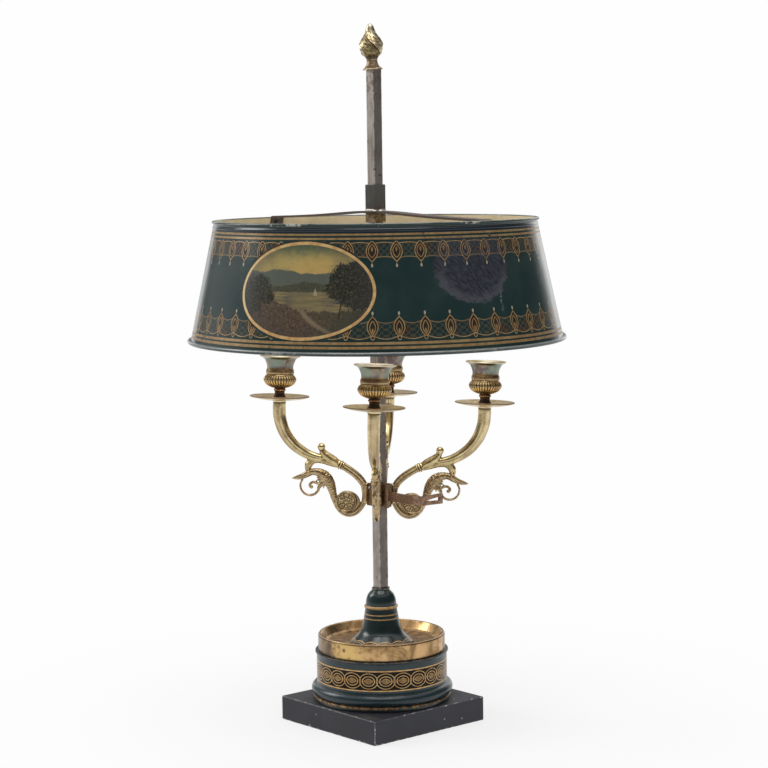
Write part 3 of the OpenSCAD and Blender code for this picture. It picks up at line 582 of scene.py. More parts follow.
def finial_metal():
    """Worn gilt brass: painted pale cream on one side as its lit side, olive brown on the other, grey at
    the tip.
    """
    g = Graph("gilt_brass")
    angle, _ = g.polar()
    cloud = g.noise(7, 3, 0.55, warp=0.6)
    fine = g.noise(1.2, 3, 0.6)
    # the side from the leaf edge that faces the camera round about a quarter turn, and a band higher up,
    # are painted pale cream as the lit side
    past = angle - LEAF_EDGE + (g.z / FINIAL_H - 0.45) * math.degrees(LEAF_TWIST)
    side = past.step(-4, 3) * past.step(90, 66)
    side = side.most((angle - 22 + (cloud - 0.5) * 30).line(22, 6) * g.z.step(
        0.64 * FINIAL_H, 0.54 * FINIAL_H) * 0.8)
    g.colour = g.mix(cloud.step(0.38, 0.62), (0.32, 0.26, 0.13), (0.15, 0.112, 0.058))
    pale = g.mix(cloud.step(0.4, 0.6), (0.68, 0.59, 0.4), (0.33, 0.25, 0.135))
    g.coat(side, pale)
    foot = g.z.step(0.3 * FINIAL_H, 0.22 * FINIAL_H)
    g.coat(foot * 0.75, g.mix(cloud.step(0.4, 0.6), (0.58, 0.46, 0.3), (0.26, 0.17, 0.1)))
    tip = g.z.step(0.84 * FINIAL_H, 0.94 * FINIAL_H)
    g.coat(tip * 0.75, (0.36, 0.335, 0.29))
    hollow = (g.cavity() + (fine - 0.5) * 0.06).step(0.52, 0.68)
    g.coat(hollow * 0.85, (0.06, 0.036, 0.018))
    roughness = 0.3 + cloud * 0.16 + hollow * 0.25
    return g.surface(roughness, 1 - hollow * 0.5, g.bump(g.noise(1.8, 3), 0.12))


def brushed_tray():
    """Turned brass, bright on the rim and tarnished towards the middle, with rings and spots."""
    g = Graph("tray_brass")
    angle, r = g.polar()
    rings = g.noise(0.9, 2, 0.5, at=g.vector(r * 3, g.z * 3, angle * 0.004))
    cloud = g.noise(17, 4, 0.62, warp=0.8)
    rays = g.noise(1, 3, 0.6, at=g.vector(angle * 0.32, r * 0.03, g.z * 0.03))
    floor_part = r.step(TRAY_R - 6, TRAY_R - 11) * g.z.step(TRAY_TOP + 0.4, TRAY_TOP - 3)
    bright = (0.62, 0.4, 0.19)
    g.colour = g.mix(cloud.step(0.4, 0.62), bright, (0.34, 0.205, 0.09))
    streak = g.noise(4, 3, 0.6, at=g.vector(angle * 0.5, g.z * 0.12, r * 0.05))
    g.coat(streak.step(0.46, 0.7) * 0.6, (0.19, 0.115, 0.055))
    # darker down the wall on the camera's left, tarnish and a painted dark reflection together, and a
    # painted yellow highlight beside it
    wall = r.step(TRAY_R - 2.4, TRAY_R - 1.6)
    side = angle.past(VIEW_ANGLE) * 360
    blot = g.noise(11, 4, 0.65, warp=0.7) - 0.5
    left = (side + blot * 60).step(-38, -58) * wall
    g.coat(left * (0.4 + streak * 0.6), (0.1, 0.075, 0.058))
    yellow_highlight = (side + 31 + blot * 46).line(24, 9) * wall * (0.45 + cloud * 0.6)
    g.coat(yellow_highlight, (0.72, 0.5, 0.19))
    g.coat(floor_part * rays.step(0.25, 0.65) * 0.85, (0.13, 0.085, 0.055))
    stains = g.cells(9).step(0.34, 0.1) * g.noise(30, 3).step(0.46, 0.6)
    g.coat(stains * 0.75, (0.05, 0.032, 0.018))
    edge = (g.z - (TRAY_TOP - 1.15)).line(0.65, 0.2) * r.step(TRAY_R - 1.2, TRAY_R - 0.8)
    # a painted highlight along the crown of the rim
    crown_highlight = g.z.step(TRAY_TOP - 0.9, TRAY_TOP - 0.6) * r.step(TRAY_R - 1.6, TRAY_R - 1.2)
    g.coat(crown_highlight * 0.6, (0.74, 0.52, 0.28))
    foot = g.z.step(DRUM_TOP + 1.4, DRUM_TOP)
    rim = r.step(TRAY_R - 2.2, TRAY_R - 1.9) * r.step(TRAY_R - 1.3, TRAY_R - 1.6)
    rim = rim * g.z.step(TRAY_TOP - 0.5, TRAY_TOP - 0.2)
    g.coat((edge * 0.9).most(foot * 0.9).most(rim * 0.5), (0.045, 0.03, 0.018))
    rough = 0.24 + cloud * 0.16 + stains * 0.3 + floor_part * 0.14
    return g.surface(rough, 1 - stains * 0.5, g.bump(rings, 0.03))


def stem_metal():
    """Drawn iron: long streaks, pale scoured edges and rust pits."""
    g = Graph("stem_iron")
    streaks = g.noise(1.6, 4, 0.6, at=g.stretched(1, 1, 0.035))
    cloud = g.noise(16, 4, 0.6, at=g.stretched(1, 1, 0.5))
    g.colour = g.mix(cloud.step(0.35, 0.7), (0.41, 0.37, 0.34), (0.25, 0.22, 0.195))
    # the face turned to the camera's right is painted darker, as shade
    g.coat(g.right_face_for_painted_light() * 0.6, (0.09, 0.076, 0.067))
    g.coat(streaks.step(0.45, 0.75) * 0.5, (0.13, 0.11, 0.095))
    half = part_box("stem")[1].x / MM
    corner = (abs(g.x) + abs(g.y)).step(2 * half - 1.5, 2 * half - 0.4)
    g.coat(corner * g.noise(7, 3).step(0.4, 0.6) * 0.6, (0.5, 0.48, 0.45))
    pits = g.cells(9).step(0.2, 0.08) * g.noise(35, 2).step(0.45, 0.6)
    high = g.z.step(STEM_TOP - 60, STEM_TOP - 8) * g.noise(6, 4, 0.7).step(0.5, 0.62)
    rust = (g.noise(9, 5, 0.7).step(0.62, 0.74) * 0.55).most(pits).most(high * 0.7)
    g.coat(rust, (0.07, 0.03, 0.015))
    rough = 0.34 + cloud * 0.15 + rust * 0.35
    height = streaks * 0.6 - pits * 0.8 + g.noise(2.5, 4) * 0.4
    return g.surface(rough, 0.9 - rust * 0.7, g.bump(height, 0.09))


def rusty_metal(name, base, rust, amount=0.5, rough=0.45, metal=0.8):
    """Bare iron gone brown, with scale and pits."""
    g = Graph(name)
    cloud = g.noise(8, 5, 0.65, warp=0.5)
    fine = g.noise(1.4, 4, 0.7)
    share = (cloud + (fine - 0.5) * 0.4).step(0.62 - amount * 0.3, 0.74 - amount * 0.3)
    g.colour = g.mix(share, base, rust)
    g.coat(fine.step(0.55, 0.8) * 0.5, (0.03, 0.018, 0.012))
    pits = g.cells(3.2).step(0.25, 0.08)
    g.coat(pits * 0.6, (0.02, 0.012, 0.008))
    height = fine - pits * 0.7 + cloud * 0.5
    return g.surface(rough + share * 0.25, metal - share * 0.6, g.bump(height, 0.12))


def sheath_paint():
    """Dark green paint on the sheath, worn to brown iron along its edges and foot."""
    g = Graph("sheath_paint")
    half = SHEATH_SIDE / 2
    worn = g.noise(4, 5, 0.7, warp=0.4)
    corner = (abs(g.x) + abs(g.y)).step(2 * half - 2.2, 2 * half - 0.6)
    foot = g.z.step(SHEATH_LOW + 20, SHEATH_LOW + 8)
    bare = (worn + corner * 0.16 + foot * 0.2).step(0.62, 0.72)
    g.colour = g.mix(g.noise(9, 3).step(0.3, 0.7), (0.026, 0.029, 0.027), (0.043, 0.045, 0.041))
    # the face turned to the camera's right is painted lighter, as lit
    g.coat(g.right_face_for_painted_light() * 0.8, (0.08, 0.08, 0.072))
    g.coat(bare, (0.12, 0.07, 0.042))
    below = g.z.step(SHEATH_LOW + 9.5, SHEATH_LOW + 7)
    brass = g.mix(g.noise(3, 4, 0.7).step(0.4, 0.6), (0.33, 0.26, 0.13), (0.13, 0.075, 0.04))
    g.coat(below * 0.85, brass)
    scratch = g.noise(1.2, 2, 0.5, at=g.stretched(1, 1, 0.06)).step(0.68, 0.76)
    g.coat(scratch * 0.5, (0.2, 0.19, 0.17))
    height = worn * 0.5 - bare * 0.4
    return g.surface(0.42 + bare * 0.2, bare * 0.5, g.bump(height, 0.12))


# ---- painted wood and tole

def plinth_paint():
    """Black paint on wood, rubbed and chipped along its edges, with a dull scuff or two."""
    g = Graph("plinth_paint")
    side = abs(g.x).most(abs(g.y))
    other = abs(g.x).least(abs(g.y))
    to_side = PLINTH_HALF - side
    to_corner = PLINTH_HALF - other
    to_top = PLINTH_TOP - g.z
    upright = to_side.most(to_corner)
    rim = to_top.most(to_side)
    foot_rim = g.z.most(to_side)
    edge = upright.least(rim).least(foot_rim)
    cloud = g.noise(26, 4, 0.6)
    fine = g.noise(2.2, 5, 0.7)
    nick = g.noise(5, 5, 0.75)
    g.colour = g.mix(cloud.step(0.35, 0.7), (0.012, 0.0125, 0.019), (0.021, 0.0215, 0.03))
    g.coat(fine.step(0.5, 0.75) * 0.5, (0.009, 0.0095, 0.013))
    # the faces turned to the camera's right are painted lighter as lit, and the top face is painted
    # lighter as lit from above
    g.coat(g.right_face_for_painted_light() * to_side.step(1.2, 0.4) * 0.3, (0.055, 0.057, 0.07))
    g.coat(to_top.step(0.6, 0.1) * 0.3, (0.045, 0.046, 0.056))
    dust = g.noise(40, 4, 0.7, warp=1.2).step(0.56, 0.7) * g.z.step(PLINTH_TOP - 0.5, PLINTH_TOP)
    g.coat(dust * 0.4, (0.075, 0.06, 0.045))
    rubbed = (edge + (nick - 0.5) * 3.2).step(1.2, 0.35)
    chips = (edge + (nick - 0.5) * 7.5).step(0.25, -0.05)
    # a pale line down the upright corners, a painted highlight broken up by nicks
    corner = upright.step(1.1, 0.5) * nick.step(0.3, 0.5)
    g.coat(corner * 0.5, (0.3, 0.29, 0.28))
    specks = g.cells(13).step(0.085, 0.05) * g.noise(60, 2).step(0.45, 0.6)
    g.coat(rubbed * 0.5, (0.13, 0.13, 0.135))
    g.coat(chips.most(specks) * 0.9, (0.5, 0.48, 0.44))
    scrape = g.noise(1.5, 3, 0.6, at=g.stretched(0.2, 0.2, 1)).step(0.66, 0.74)
    patch = g.noise(30, 2).step(0.6, 0.68)
    g.coat(scrape * patch * 0.35, (0.1, 0.1, 0.11))
    height = fine * 0.6 - chips * 1 - scrape * patch * 0.3
    rough = 0.4 + cloud * 0.14 + chips * 0.3 + dust * 0.2
    return g.surface(rough, 0, g.bump(height, 0.1), specular=0.42)


GILT = (0.43, 0.235, 0.09)
GILT_PALE = (0.53, 0.36, 0.155)
GILT_DARK = (0.17, 0.09, 0.042)


def gilding(g, share, wear_size=9, keep=0.42):
    """Colour and share of painted gold lines, rubbed through in places."""
    cloud = g.noise(wear_size, 4, 0.65)
    fine = g.noise(1.3, 3, 0.7)
    left = (cloud + (fine - 0.5) * 0.5).step(keep - 0.16, keep - 0.06)
    gold = g.mix(g.noise(5, 3).step(0.35, 0.65), GILT, GILT_PALE)
    gold = g.mix(fine.step(0.55, 0.85) * 0.6, gold, GILT_DARK)
    return gold, share * (0.25 + left * 0.75)


def drum_paint():
    """Blue-green lacquer with a worn gilt fillet, gilt lines and a guilloche band."""
    g = Graph("drum_paint")
    angle, r = g.polar()
    band_low, band_high = PLINTH_TOP + 21, PLINTH_TOP + 40.6
    middle = (band_low + band_high) / 2
    count = 24
    pitch = TAU * DRUM_R / count
    v = g.z - middle
    turn = angle * (count / 360)
    u = (turn.fract() - 0.5) * pitch
    # a chain of ovals, each crossed by its neighbours, with a smaller one and an eye inside

    def oval(from_middle, half_w, half_h):
        reach = squares(from_middle / half_w, v / half_h) ** 0.5
        return (reach - 1) * (half_h * 1.1)
    inner_oval = oval(u, 6.1, 4.7)
    outer = oval(u, 9.3, 7.6).line(0.7, 0.15)
    crossing = oval(pitch - abs(u), 9.3, 7.6).line(0.6, 0.15) * inner_oval.step(0.5, 1)
    core = abs(u / 4.6) ** 1.6 + abs(v / 2.5)
    ring = (core - 1).line(0.24, 0.07) * 0.9
    hatch_u = ((u / 1.3).fract() - 0.5).line(0.55, 0.1)
    hatch = hatch_u * core.step(0.8, 0.7)
    edges = (abs(v) - (band_high - band_low) / 2).line(1.15)
    pattern = outer.most(inner_oval.line(0.75, 0.15)).most(ring).most(hatch * 0.7).most(
        crossing * 0.85).most(edges)
    g.colour = g.mix(g.noise(20, 3).step(0.3, 0.7), (0.006, 0.019, 0.025), (0.012, 0.029, 0.034))
    inside = abs(v).step(9.8, 9)
    g.coat(inside * (0.65 + g.noise(12, 2).step(0.35, 0.65) * 0.3), (0.012, 0.008, 0.005))
    gold, share = gilding(g, pattern, keep=0.4)
    # the fillet is gilt along its upper edge only, and rubbed off in stretches
    worn = g.noise(7, 5, 0.7, warp=0.5)
    fillet = g.z.step(PLINTH_TOP + 2.4, PLINTH_TOP + 3.6) * g.z.step(PLINTH_TOP + 6.2,
                                                                  PLINTH_TOP + 5.2)
    fillet = fillet * worn.step(0.62, 0.5)
    foot = g.z.step(PLINTH_TOP + 3.6, PLINTH_TOP + 2.6)
    g.coat(foot * 0.7, (0.008, 0.009, 0.007))
    g.coat(share, g.tint(gold, 1.35))
    g.coat(fillet * 0.85, g.mix(worn.step(0.3, 0.55), GILT_PALE, GILT_DARK))
    lip = g.z.step(DRUM_TOP - 2.2, DRUM_TOP - 1.6) * r.step(DRUM_R + 0.3, DRUM_R + 0.9)
    g.coat(lip * 0.6, (0.012, 0.014, 0.012))
    rubbed = lip * g.noise(6, 4).step(0.4, 0.62) * g.z.step(DRUM_TOP - 1, DRUM_TOP - 0.6)
    g.coat(rubbed * 0.7, (0.2, 0.13, 0.075))
    speck = g.cells(7).step(0.1, 0.05) * g.noise(25, 2).step(0.5, 0.62)
    g.coat(speck * 0.7, (0.2, 0.19, 0.17))
    gilt = share.most(fillet)
    height = gilt * 0.5 + g.noise(3, 3) * 0.5
    rough = 0.22 + gilt * 0.2 + rubbed * 0.25 + g.noise(15, 3) * 0.1
    return g.surface(rough, (gilt * 0.7).most(inside * 0.85), g.bump(height, 0.05))


def bell_paint():
    """The same lacquer on the pedestal, with gilt lines and a scalloped gilt edge."""
    g = Graph("bell_paint")
    angle, _ = g.polar()
    z = g.z
    ring = (z - (DISH_Z + 0.655 * BELL_H)).line(2.9, 0.3)
    lines = (z - (DISH_Z + 0.525 * BELL_H)).line(1.1).most(
        (z - (DISH_Z + 0.45 * BELL_H)).line(1.1))
    scallops = 13
    swing = abs(((angle * (scallops / 360)).fract() - 0.5) * 2)
    hem = 2.6 + (1 - swing * swing) * 1.7
    edge = ((z - DISH_Z) - hem).line(0.8, 0.2)
    under = ((z - DISH_Z) - hem + 1.5).line(0.45, 0.15)
    foot = (z - DISH_Z).step(1.4, 0.6)
    collar = z.step(DISH_Z + BELL_H - 1.6, DISH_Z + BELL_H - 0.7)
    g.colour = g.mix(g.noise(16, 3).step(0.3, 0.7), (0.006, 0.0165, 0.019), (0.013, 0.027, 0.027))
    gold, share = gilding(g, ring.most(lines).most(edge).most(under * 0.8).most(foot), 7, 0.36)
    g.coat(share, gold)
    worn = collar * g.noise(3, 3).step(0.4, 0.6)
    g.coat(worn * 0.7, (0.2, 0.15, 0.1))
    rough = 0.17 + share * 0.22 + g.noise(12, 3) * 0.1
    height = share * 0.5 + g.noise(3, 3) * 0.4
    return g.surface(rough, share * 0.35, g.bump(height, 0.05))


# ---- the painted shade

SHEET = 0.8
LOW_ROLL_R = 2
TOP_ROLL_R = 1.5
TOP_WIRE_R = 0.66
WALL_LOW_R = radius("shade_shell") + SHEET - 2 * LOW_ROLL_R
WALL_TOP_R = radius("shade_top_wire") - TOP_WIRE_R + SHEET - TOP_ROLL_R
WALL_SLOPE = (WALL_LOW_R - WALL_TOP_R) / (SHADE_TOP - SHADE_LOW - (LOW_ROLL_R + TOP_ROLL_R))
UPPER_LINE = SHADE_TOP - 14.9
LOWER_LINE = SHADE_LOW + 12.9
OVAL_ANGLE = -154.1
OVAL_HALF_W = 70.5
OVAL_HALF_H = 45.3
OVAL_Z = 445.5
BORDER_COUNT = 46
BORDER_PHASE = VIEW_ANGLE + 6.5

# where the wear on the shade is, and the wall's radius there
PATCH_ANGLE, PATCH_Z, PATCH_R = VIEW_ANGLE + 32.2, 468, 172
DRIP_ANGLE, DRIP_Z, DRIP_R = VIEW_ANGLE + 41.5, 432, 176
WIDE_CHIP_ANGLE = -162
SMALL_CHIP_ANGLE = -96.5


def shade_wall(z):
    """Radius of the shade's outer face at a height, in mm."""
    return WALL_LOW_R - (z - SHADE_LOW - LOW_ROLL_R) * WALL_SLOPE


def lace_border(g, angle, r):
    """Painted border: pointed ovals with drops, arcs knotted at their feet and a fine lattice."""
    upper = g.z.step(OVAL_Z - 1, OVAL_Z + 1)

    def pick(at_foot, at_top):
        return at_foot + upper * (at_top - at_foot)
    from_top = UPPER_LINE - 2.5 - g.z
    from_foot = g.z - LOWER_LINE - 2.6
    v = from_foot + (from_top - from_foot) * upper
    turn = ((angle - BORDER_PHASE) * (BORDER_COUNT / 360) + 0.5).fract() - 0.5
    half = r * (math.pi / BORDER_COUNT)
    across = turn * half * 2
    u = abs(across)
    s = u / half
    # outline of the pointed oval, then the one inside it and the seed in the middle
    tip = pick(19.7, 17.5)
    w = (v - pick(10.9, 8.15)) / pick(9.3, 9.4)
    bulge = (u - (1 - w * w) * pick(5, 5.3)) * (1 - abs(w) * 0.32)
    outer = bulge.line(0.8, 0.2) * v.step(pick(1.8, -1.4), pick(2.4, -0.8)) * (v - tip).step(0.6, 0)
    w2 = (v - pick(10.2, 7.9)) / pick(6.2, 6.2)
    inner = ((u - (1 - w2 * w2) * pick(2.6, 3.3)) * (1 - abs(w2) * 0.3)).line(0.65, 0.18)
    inner = inner * abs(w2).step(1.03, 0.97)
    seed = squares(u / 0.85, (v - pick(7.6, 6.3)) / 2.2).step(1.2, 0.6)
    thread = u.line(0.6, 0.2) * (v - tip).step(-0.5, 0.1) * (v - tip).step(4.4, 3.8)
    drop = squares(u / 1.05, (v - tip - 3.6) / 1.7).step(1.2, 0.6)
    knot_ring = (squares(u / 1.6, (v - 1.2) / 1.9) ** 0.5 - 1).line(0.42, 0.12)
    knot_ring = knot_ring * (1 - upper)
    out = 1 - s
    arch = v - out * out * pick(3.4, 1.5)
    arcs = arch.line(0.75, 0.2) * bulge.step(-0.2, 0.3)
    hem = v - pick(14.3, 13) - (1 - s) * (1 - s) * pick(4, 2)
    edge = hem.line(0.8, 0.2) * bulge.step(-0.2, 0.3)
    field = arch.step(0, 0.4) * hem.step(0, -0.4) * bulge.step(0.2, 0.7)
    lattice = (((across + v) / 5.6).fract() - 0.5).line(0.08, 0.04).most(
        (((across - v) / 5.6).fract() - 0.5).line(0.08, 0.04)) * field
    within = bulge.step(0, -0.4) * abs(w).step(1.1, 1)
    strong = outer.most(inner).most(seed * 0.8).most(thread).most(arcs).most(knot_ring)
    return strong.most(edge * 0.55).most(lattice * 0.34), drop, field, within


def oval_place(g, angle):
    """(across, up) in mm from the middle of the nearer oval, one on each side of the shade."""
    turn = ((angle - OVAL_ANGLE) / 180 + 0.5).fract() - 0.5
    return turn * (math.pi * shade_wall(OVAL_Z)), g.z - OVAL_Z


def landscape(g, across, up):
    """A generic lake at dusk: far hills, water, a leaning tree group, a brown bank."""
    place = g.vector(across, up, 0)
    brush = g.noise(9, 4, 0.6, at=place, warp=1) - 0.5
    dabs = g.noise(2.2, 4, 0.7, at=place, warp=0.8) - 0.5
    fine = g.noise(0.9, 3, 0.7, at=place) - 0.5
    sky = g.mix((up + brush * 14).step(26, 44), (0.4, 0.31, 0.11), (0.075, 0.125, 0.065))
    glow = squares((across - 14) / 42, (up - 18) / 13)
    sky = g.mix((glow + brush * 0.7).step(1.4, 0.1) * 0.8, sky, (0.52, 0.35, 0.11))
    cloud = g.noise(11, 5, 0.62, at=g.vector(across * 0.5, up * 1.6, 3)).step(0.52, 0.68)
    g.colour = g.mix(cloud * 0.45, sky, (0.15, 0.16, 0.11))
    ridge = g.noise(30, 3, 0.5, at=g.vector(across, 7, 0))
    far = 9 + ridge * 17
    g.coat((up - far + dabs * 1.6).step(0.7, -0.7), (0.1, 0.115, 0.09))
    near_ridge = g.noise(19, 4, 0.55, at=g.vector(across, 31, 0))
    near_hill = 1.5 + near_ridge * 13 - ((across - 18) / 60) ** 2 * 6
    wood = g.mix((dabs + fine).step(-0.1, 0.2), (0.05, 0.055, 0.038), (0.095, 0.09, 0.05))
    g.coat((up - near_hill + dabs * 2.6).step(0.6, -0.6), wood)
    ripples = g.noise(3.4, 4, 0.65, at=g.vector(across * 0.16, up * 1.5, 9))
    water = g.mix(ripples.step(0.38, 0.62), (0.085, 0.085, 0.065), (0.26, 0.2, 0.09))
    water = g.mix(((across - 6) / 26).line(1.4, 0.5) * 0.5, water, (0.26, 0.2, 0.085))
    shore = -1 + brush * 3
    g.coat((up - shore).step(0.5, -0.5), water)
    bank = -17 + brush * 13 - (across / 60) * 6 + ((across - 12) / 40) ** 2 * 5
    earth = g.mix((dabs + fine * 0.8).step(-0.2, 0.25), (0.04, 0.03, 0.024), (0.17, 0.11, 0.065))
    earth = g.mix((brush + across / 160).step(0.05, 0.3) * 0.6, earth, (0.05, 0.062, 0.028))
    g.coat((up - bank + dabs * 3).step(0.8, -0.8), earth)
    # a pale track up the bank and a small sail on the water
    track = (across - 4 + (up + 22) * 0.9 - ((up + 22) / 9) ** 2 * 3) / (1.6 - up * 0.12)
    track = (track + dabs * 0.8).line(1.3, 0.4) * (up - bank).step(0.5, -1.5)
    g.coat(track * 0.6, (0.3, 0.22, 0.13))
    sail = (abs(across - 13) + (up + 1.5) * 0.32).step(1.6, 1) * up.step(-4.2, -3.8)
    g.coat(sail * 0.85, (0.42, 0.36, 0.22))
    # tree groups: clumps of foliage on leaning trunks, one large at the right, one low at left
    leaves = g.mix((dabs * 1.3 + fine).step(-0.02, 0.3), (0.016, 0.02, 0.015), (0.13, 0.11, 0.055))
    for x, z, wide, tall in ((44, 12, 17, 14), (54, -2, 20, 15), (33, 1, 10, 9), (60, 22, 13, 9),
                             (-52, 4, 17, 11), (-62, -10, 20, 13), (-38, -6, 9, 7)):
        clump = squares((across - x) / wide, (up - z) / tall)
        g.coat((clump + dabs * 2.2 + brush * 1.2).step(1.15, 0.8), leaves)
    for foot, lean in ((40, 0.16), (-46, -0.1)):
        trunk = (across - foot - up * lean + dabs * 1.5).line(1.9, 0.5)
        trunk = trunk * up.step(-27, -24) * up.step(6, 2)
        g.coat(trunk * 0.85, (0.045, 0.03, 0.02))
    haze = g.noise(17, 5, 0.65, at=place).step(0.45, 0.7)
    g.coat(haze * 0.2, (0.1, 0.085, 0.06))
    sparks = g.noise(1.5, 4, 0.75, at=place).step(0.56, 0.68) * up.step(30, 6)
    sparks = sparks * g.noise(12, 3, 0.6, at=place).step(0.45, 0.6)
    g.coat(sparks * 0.55, (0.27, 0.2, 0.11))
    browned = (across * across / 4400 + up * up / 2300).step(0.35, 1)
    g.coat(browned * 0.45, (0.045, 0.042, 0.045))
    return g.tint(g.colour, 0.8)


def shade_paint():
    """Green-black lacquer with gilt lines, lace borders and two ovals; cream paint inside."""
    g = Graph("shade_paint")
    angle, r = g.polar()
    across, up = oval_place(g, angle)
    picture = landscape(g, across, up)
    cloud = g.noise(45, 4, 0.6)
    g.colour = g.mix(cloud.step(0.35, 0.7), (0.0085, 0.0245, 0.025), (0.016, 0.036, 0.032))
    g.coat(g.noise(3, 5, 0.75).step(0.6, 0.8) * 0.2, (0.03, 0.042, 0.04))

    lace, drops, field, within = lace_border(g, angle, r)
    ground = g.noise(21, 2).step(0.45, 0.6)
    g.coat(field * ground * 0.6, (0.05, 0.024, 0.016))
    g.coat(within * 0.8, (0.026, 0.016, 0.009))
    lines = (g.z - UPPER_LINE - 0.95).line(1.85).most((g.z - UPPER_LINE - 4.75).line(1.85)).most(
        (g.z - LOWER_LINE + 1.2).line(2.4)).most((g.z - LOWER_LINE + 5.3).line(2.4))
    reach = squares(across / OVAL_HALF_W, up / OVAL_HALF_H) ** 0.5
    to_rim = (1 - reach) * (across * across + up * up) ** 0.5 / reach.most(0.05)
    inside = to_rim.step(3, 3.4)
    frame_line = (to_rim - 1.7).line(2.9, 0.2)
    beyond = to_rim.step(-1, -1.8)
    gold, share = gilding(g, lines, 14, 0.44)
    fine_gold, fine_share = gilding(g, lace * beyond, 11, 0.36)

    # a dull shield-shaped patch where the lacquer was rubbed, and scratches
    rub_u = (angle - PATCH_ANGLE) * (math.pi / 180 * PATCH_R)
    rub_v = g.z - PATCH_Z
    rub_noise = g.noise(9, 5, 0.7, at=g.vector(rub_u, rub_v * 1.6, 0), warp=0.5) - 0.5
    rub_low = squares(rub_u / 44, (rub_v / 37).least(0.35)) + rub_noise * 0.75
    rub = rub_low.step(1.05, 0.8) * g.z.step(UPPER_LINE + 4, UPPER_LINE - 1)
    swirl = g.noise(1.7, 4, 0.7, at=g.vector((rub_u - rub_v) * 0.16, (rub_u + rub_v) * 0.7, 0),
                    warp=0.3)
    rim_glow = rub_low.step(0.45, 0.95) * rub_v.step(0, -18)
    dull = g.mix(swirl.step(0.4, 0.62), (0.004, 0.005, 0.013), (0.04, 0.04, 0.058))
    dull = g.mix(rim_glow * 0.7, dull, (0.085, 0.083, 0.1))
    g.coat(rub * (0.85 - rub_v.step(-6, 26) * 0.4), dull)
    keep = 1 - rub * swirl.step(0.36, 0.6) * 0.6
    g.coat(share * (0.9 - rub * 0.35), g.tint(gold, 0.72))
    g.coat(fine_share * keep * 0.9, g.tint(fine_gold, 0.8))
    g.coat(drops * beyond * keep * 0.8, (0.4, 0.34, 0.26))
    g.coat(inside, picture)
    oval_gold, oval_share = gilding(g, frame_line, 18, 0.3)
    # the frame's left side is painted paler, as a highlight
    oval_gold = g.mix((across / OVAL_HALF_W).step(-0.5, -0.95) * 0.6, oval_gold, (0.72, 0.55, 0.29))
    g.coat(oval_share, oval_gold)
    # a pale drip below the patch
    drip_u = (angle - DRIP_ANGLE) * (math.pi / 180 * DRIP_R)
    drip = (drip_u + (g.noise(5, 3) - 0.5) * 4).line(2.6, 0.9) * (g.z - DRIP_Z).line(17, 3)
    drip = drip * g.noise(2.2, 4, 0.7).step(0.45, 0.58)
    g.coat(drip * 0.6, (0.22, 0.27, 0.26))

    # chips along the two rolled edges show grey priming
    near_top = g.z.step(SHADE_TOP - 3.4, SHADE_TOP - 1.8)
    near_foot = g.z.step(SHADE_LOW + 4.5, SHADE_LOW + 2.5)
    wide_chip = abs(angle.past(WIDE_CHIP_ANGLE)).step(0.028, 0.012)
    flake = g.noise(7, 5, 0.72)
    small_chip = abs(angle.past(SMALL_CHIP_ANGLE)).step(0.02, 0.008)
    chips = (flake + wide_chip.most(small_chip) * 0.2).step(0.68, 0.72)
    chips = chips * near_top.most(near_foot * 0.5)
    g.coat(chips, (0.34, 0.33, 0.29))
    navy = g.z.step(SHADE_TOP - 9.4, SHADE_TOP - 8.6) * g.z.step(SHADE_TOP - 5, SHADE_TOP - 5.6)
    g.coat(navy * 0.6, (0.007, 0.008, 0.024))
    # the groove under the top roll is painted dark, as shade in it
    groove = (g.z - (SHADE_TOP - 4.3)).line(1, 0.3)
    g.coat(groove * 0.6, (0.004, 0.006, 0.012))
    crest = g.z.step(SHADE_TOP - 1, SHADE_TOP - 0.3) * g.noise(9, 3).step(0.3, 0.55)
    g.coat(crest * 0.6, (0.2, 0.22, 0.18))
    # a painted highlight line along the lower bead
    bead_highlight = (g.z - (SHADE_LOW + 2.9)).line(1.3, 0.35) * (0.55 + g.noise(18, 3).step(0.3, 0.6) * 0.3)
    g.coat(bead_highlight, (0.27, 0.28, 0.27))
    worn_bead = near_foot * g.noise(10, 4, 0.7).step(0.5, 0.66)
    g.coat(worn_bead * 0.35, (0.09, 0.095, 0.09))
    scratch_at = g.vector(across * 0.4 + up * 0.3, up * 0.05, across * 0.01)
    scratch = g.noise(2.4, 3, 0.6, at=scratch_at).step(0.71, 0.75)
    scratch = scratch * g.noise(40, 3).step(0.5, 0.65)
    g.coat(scratch * 0.3, (0.13, 0.15, 0.14))

    # cream paint inside, with dirt below the rim
    lining = Val(g, g.add("ShaderNodeAttribute", attribute_name="inner").outputs["Fac"])
    cream = g.mix(g.noise(35, 5, 0.65).step(0.35, 0.7), (0.7, 0.575, 0.37), (0.55, 0.46, 0.28))
    cream = g.mix(g.noise(6, 5, 0.75).step(0.58, 0.8) * 0.6, cream, (0.24, 0.17, 0.1))
    g.coat(lining, cream)

    gilt = share.most(fine_share * 0.6) * (1 - inside)
    rough = 0.14 + cloud * 0.06 + rub * 0.26 + gilt * 0.18 + inside * 0.08
    rough = rough + (lining * 0.3).most(chips * 0.3)
    height = gilt * 0.5 + g.noise(2.5, 4, 0.6) * 0.35 - chips * 0.9 - scratch * 0.2
    normal = g.bump(height, 0.05)
    sheet_dents = g.noise(32, 2, 0.5)
    normal = g.bump(sheet_dents, 0.35, under=normal)
    return g.surface(rough, gilt * 0.3, normal)


# ---- lathe-turned pieces

def ring_outline(*stretches):
    """One closed outline from stretches of points."""
    return [p for stretch in stretches for p in stretch]


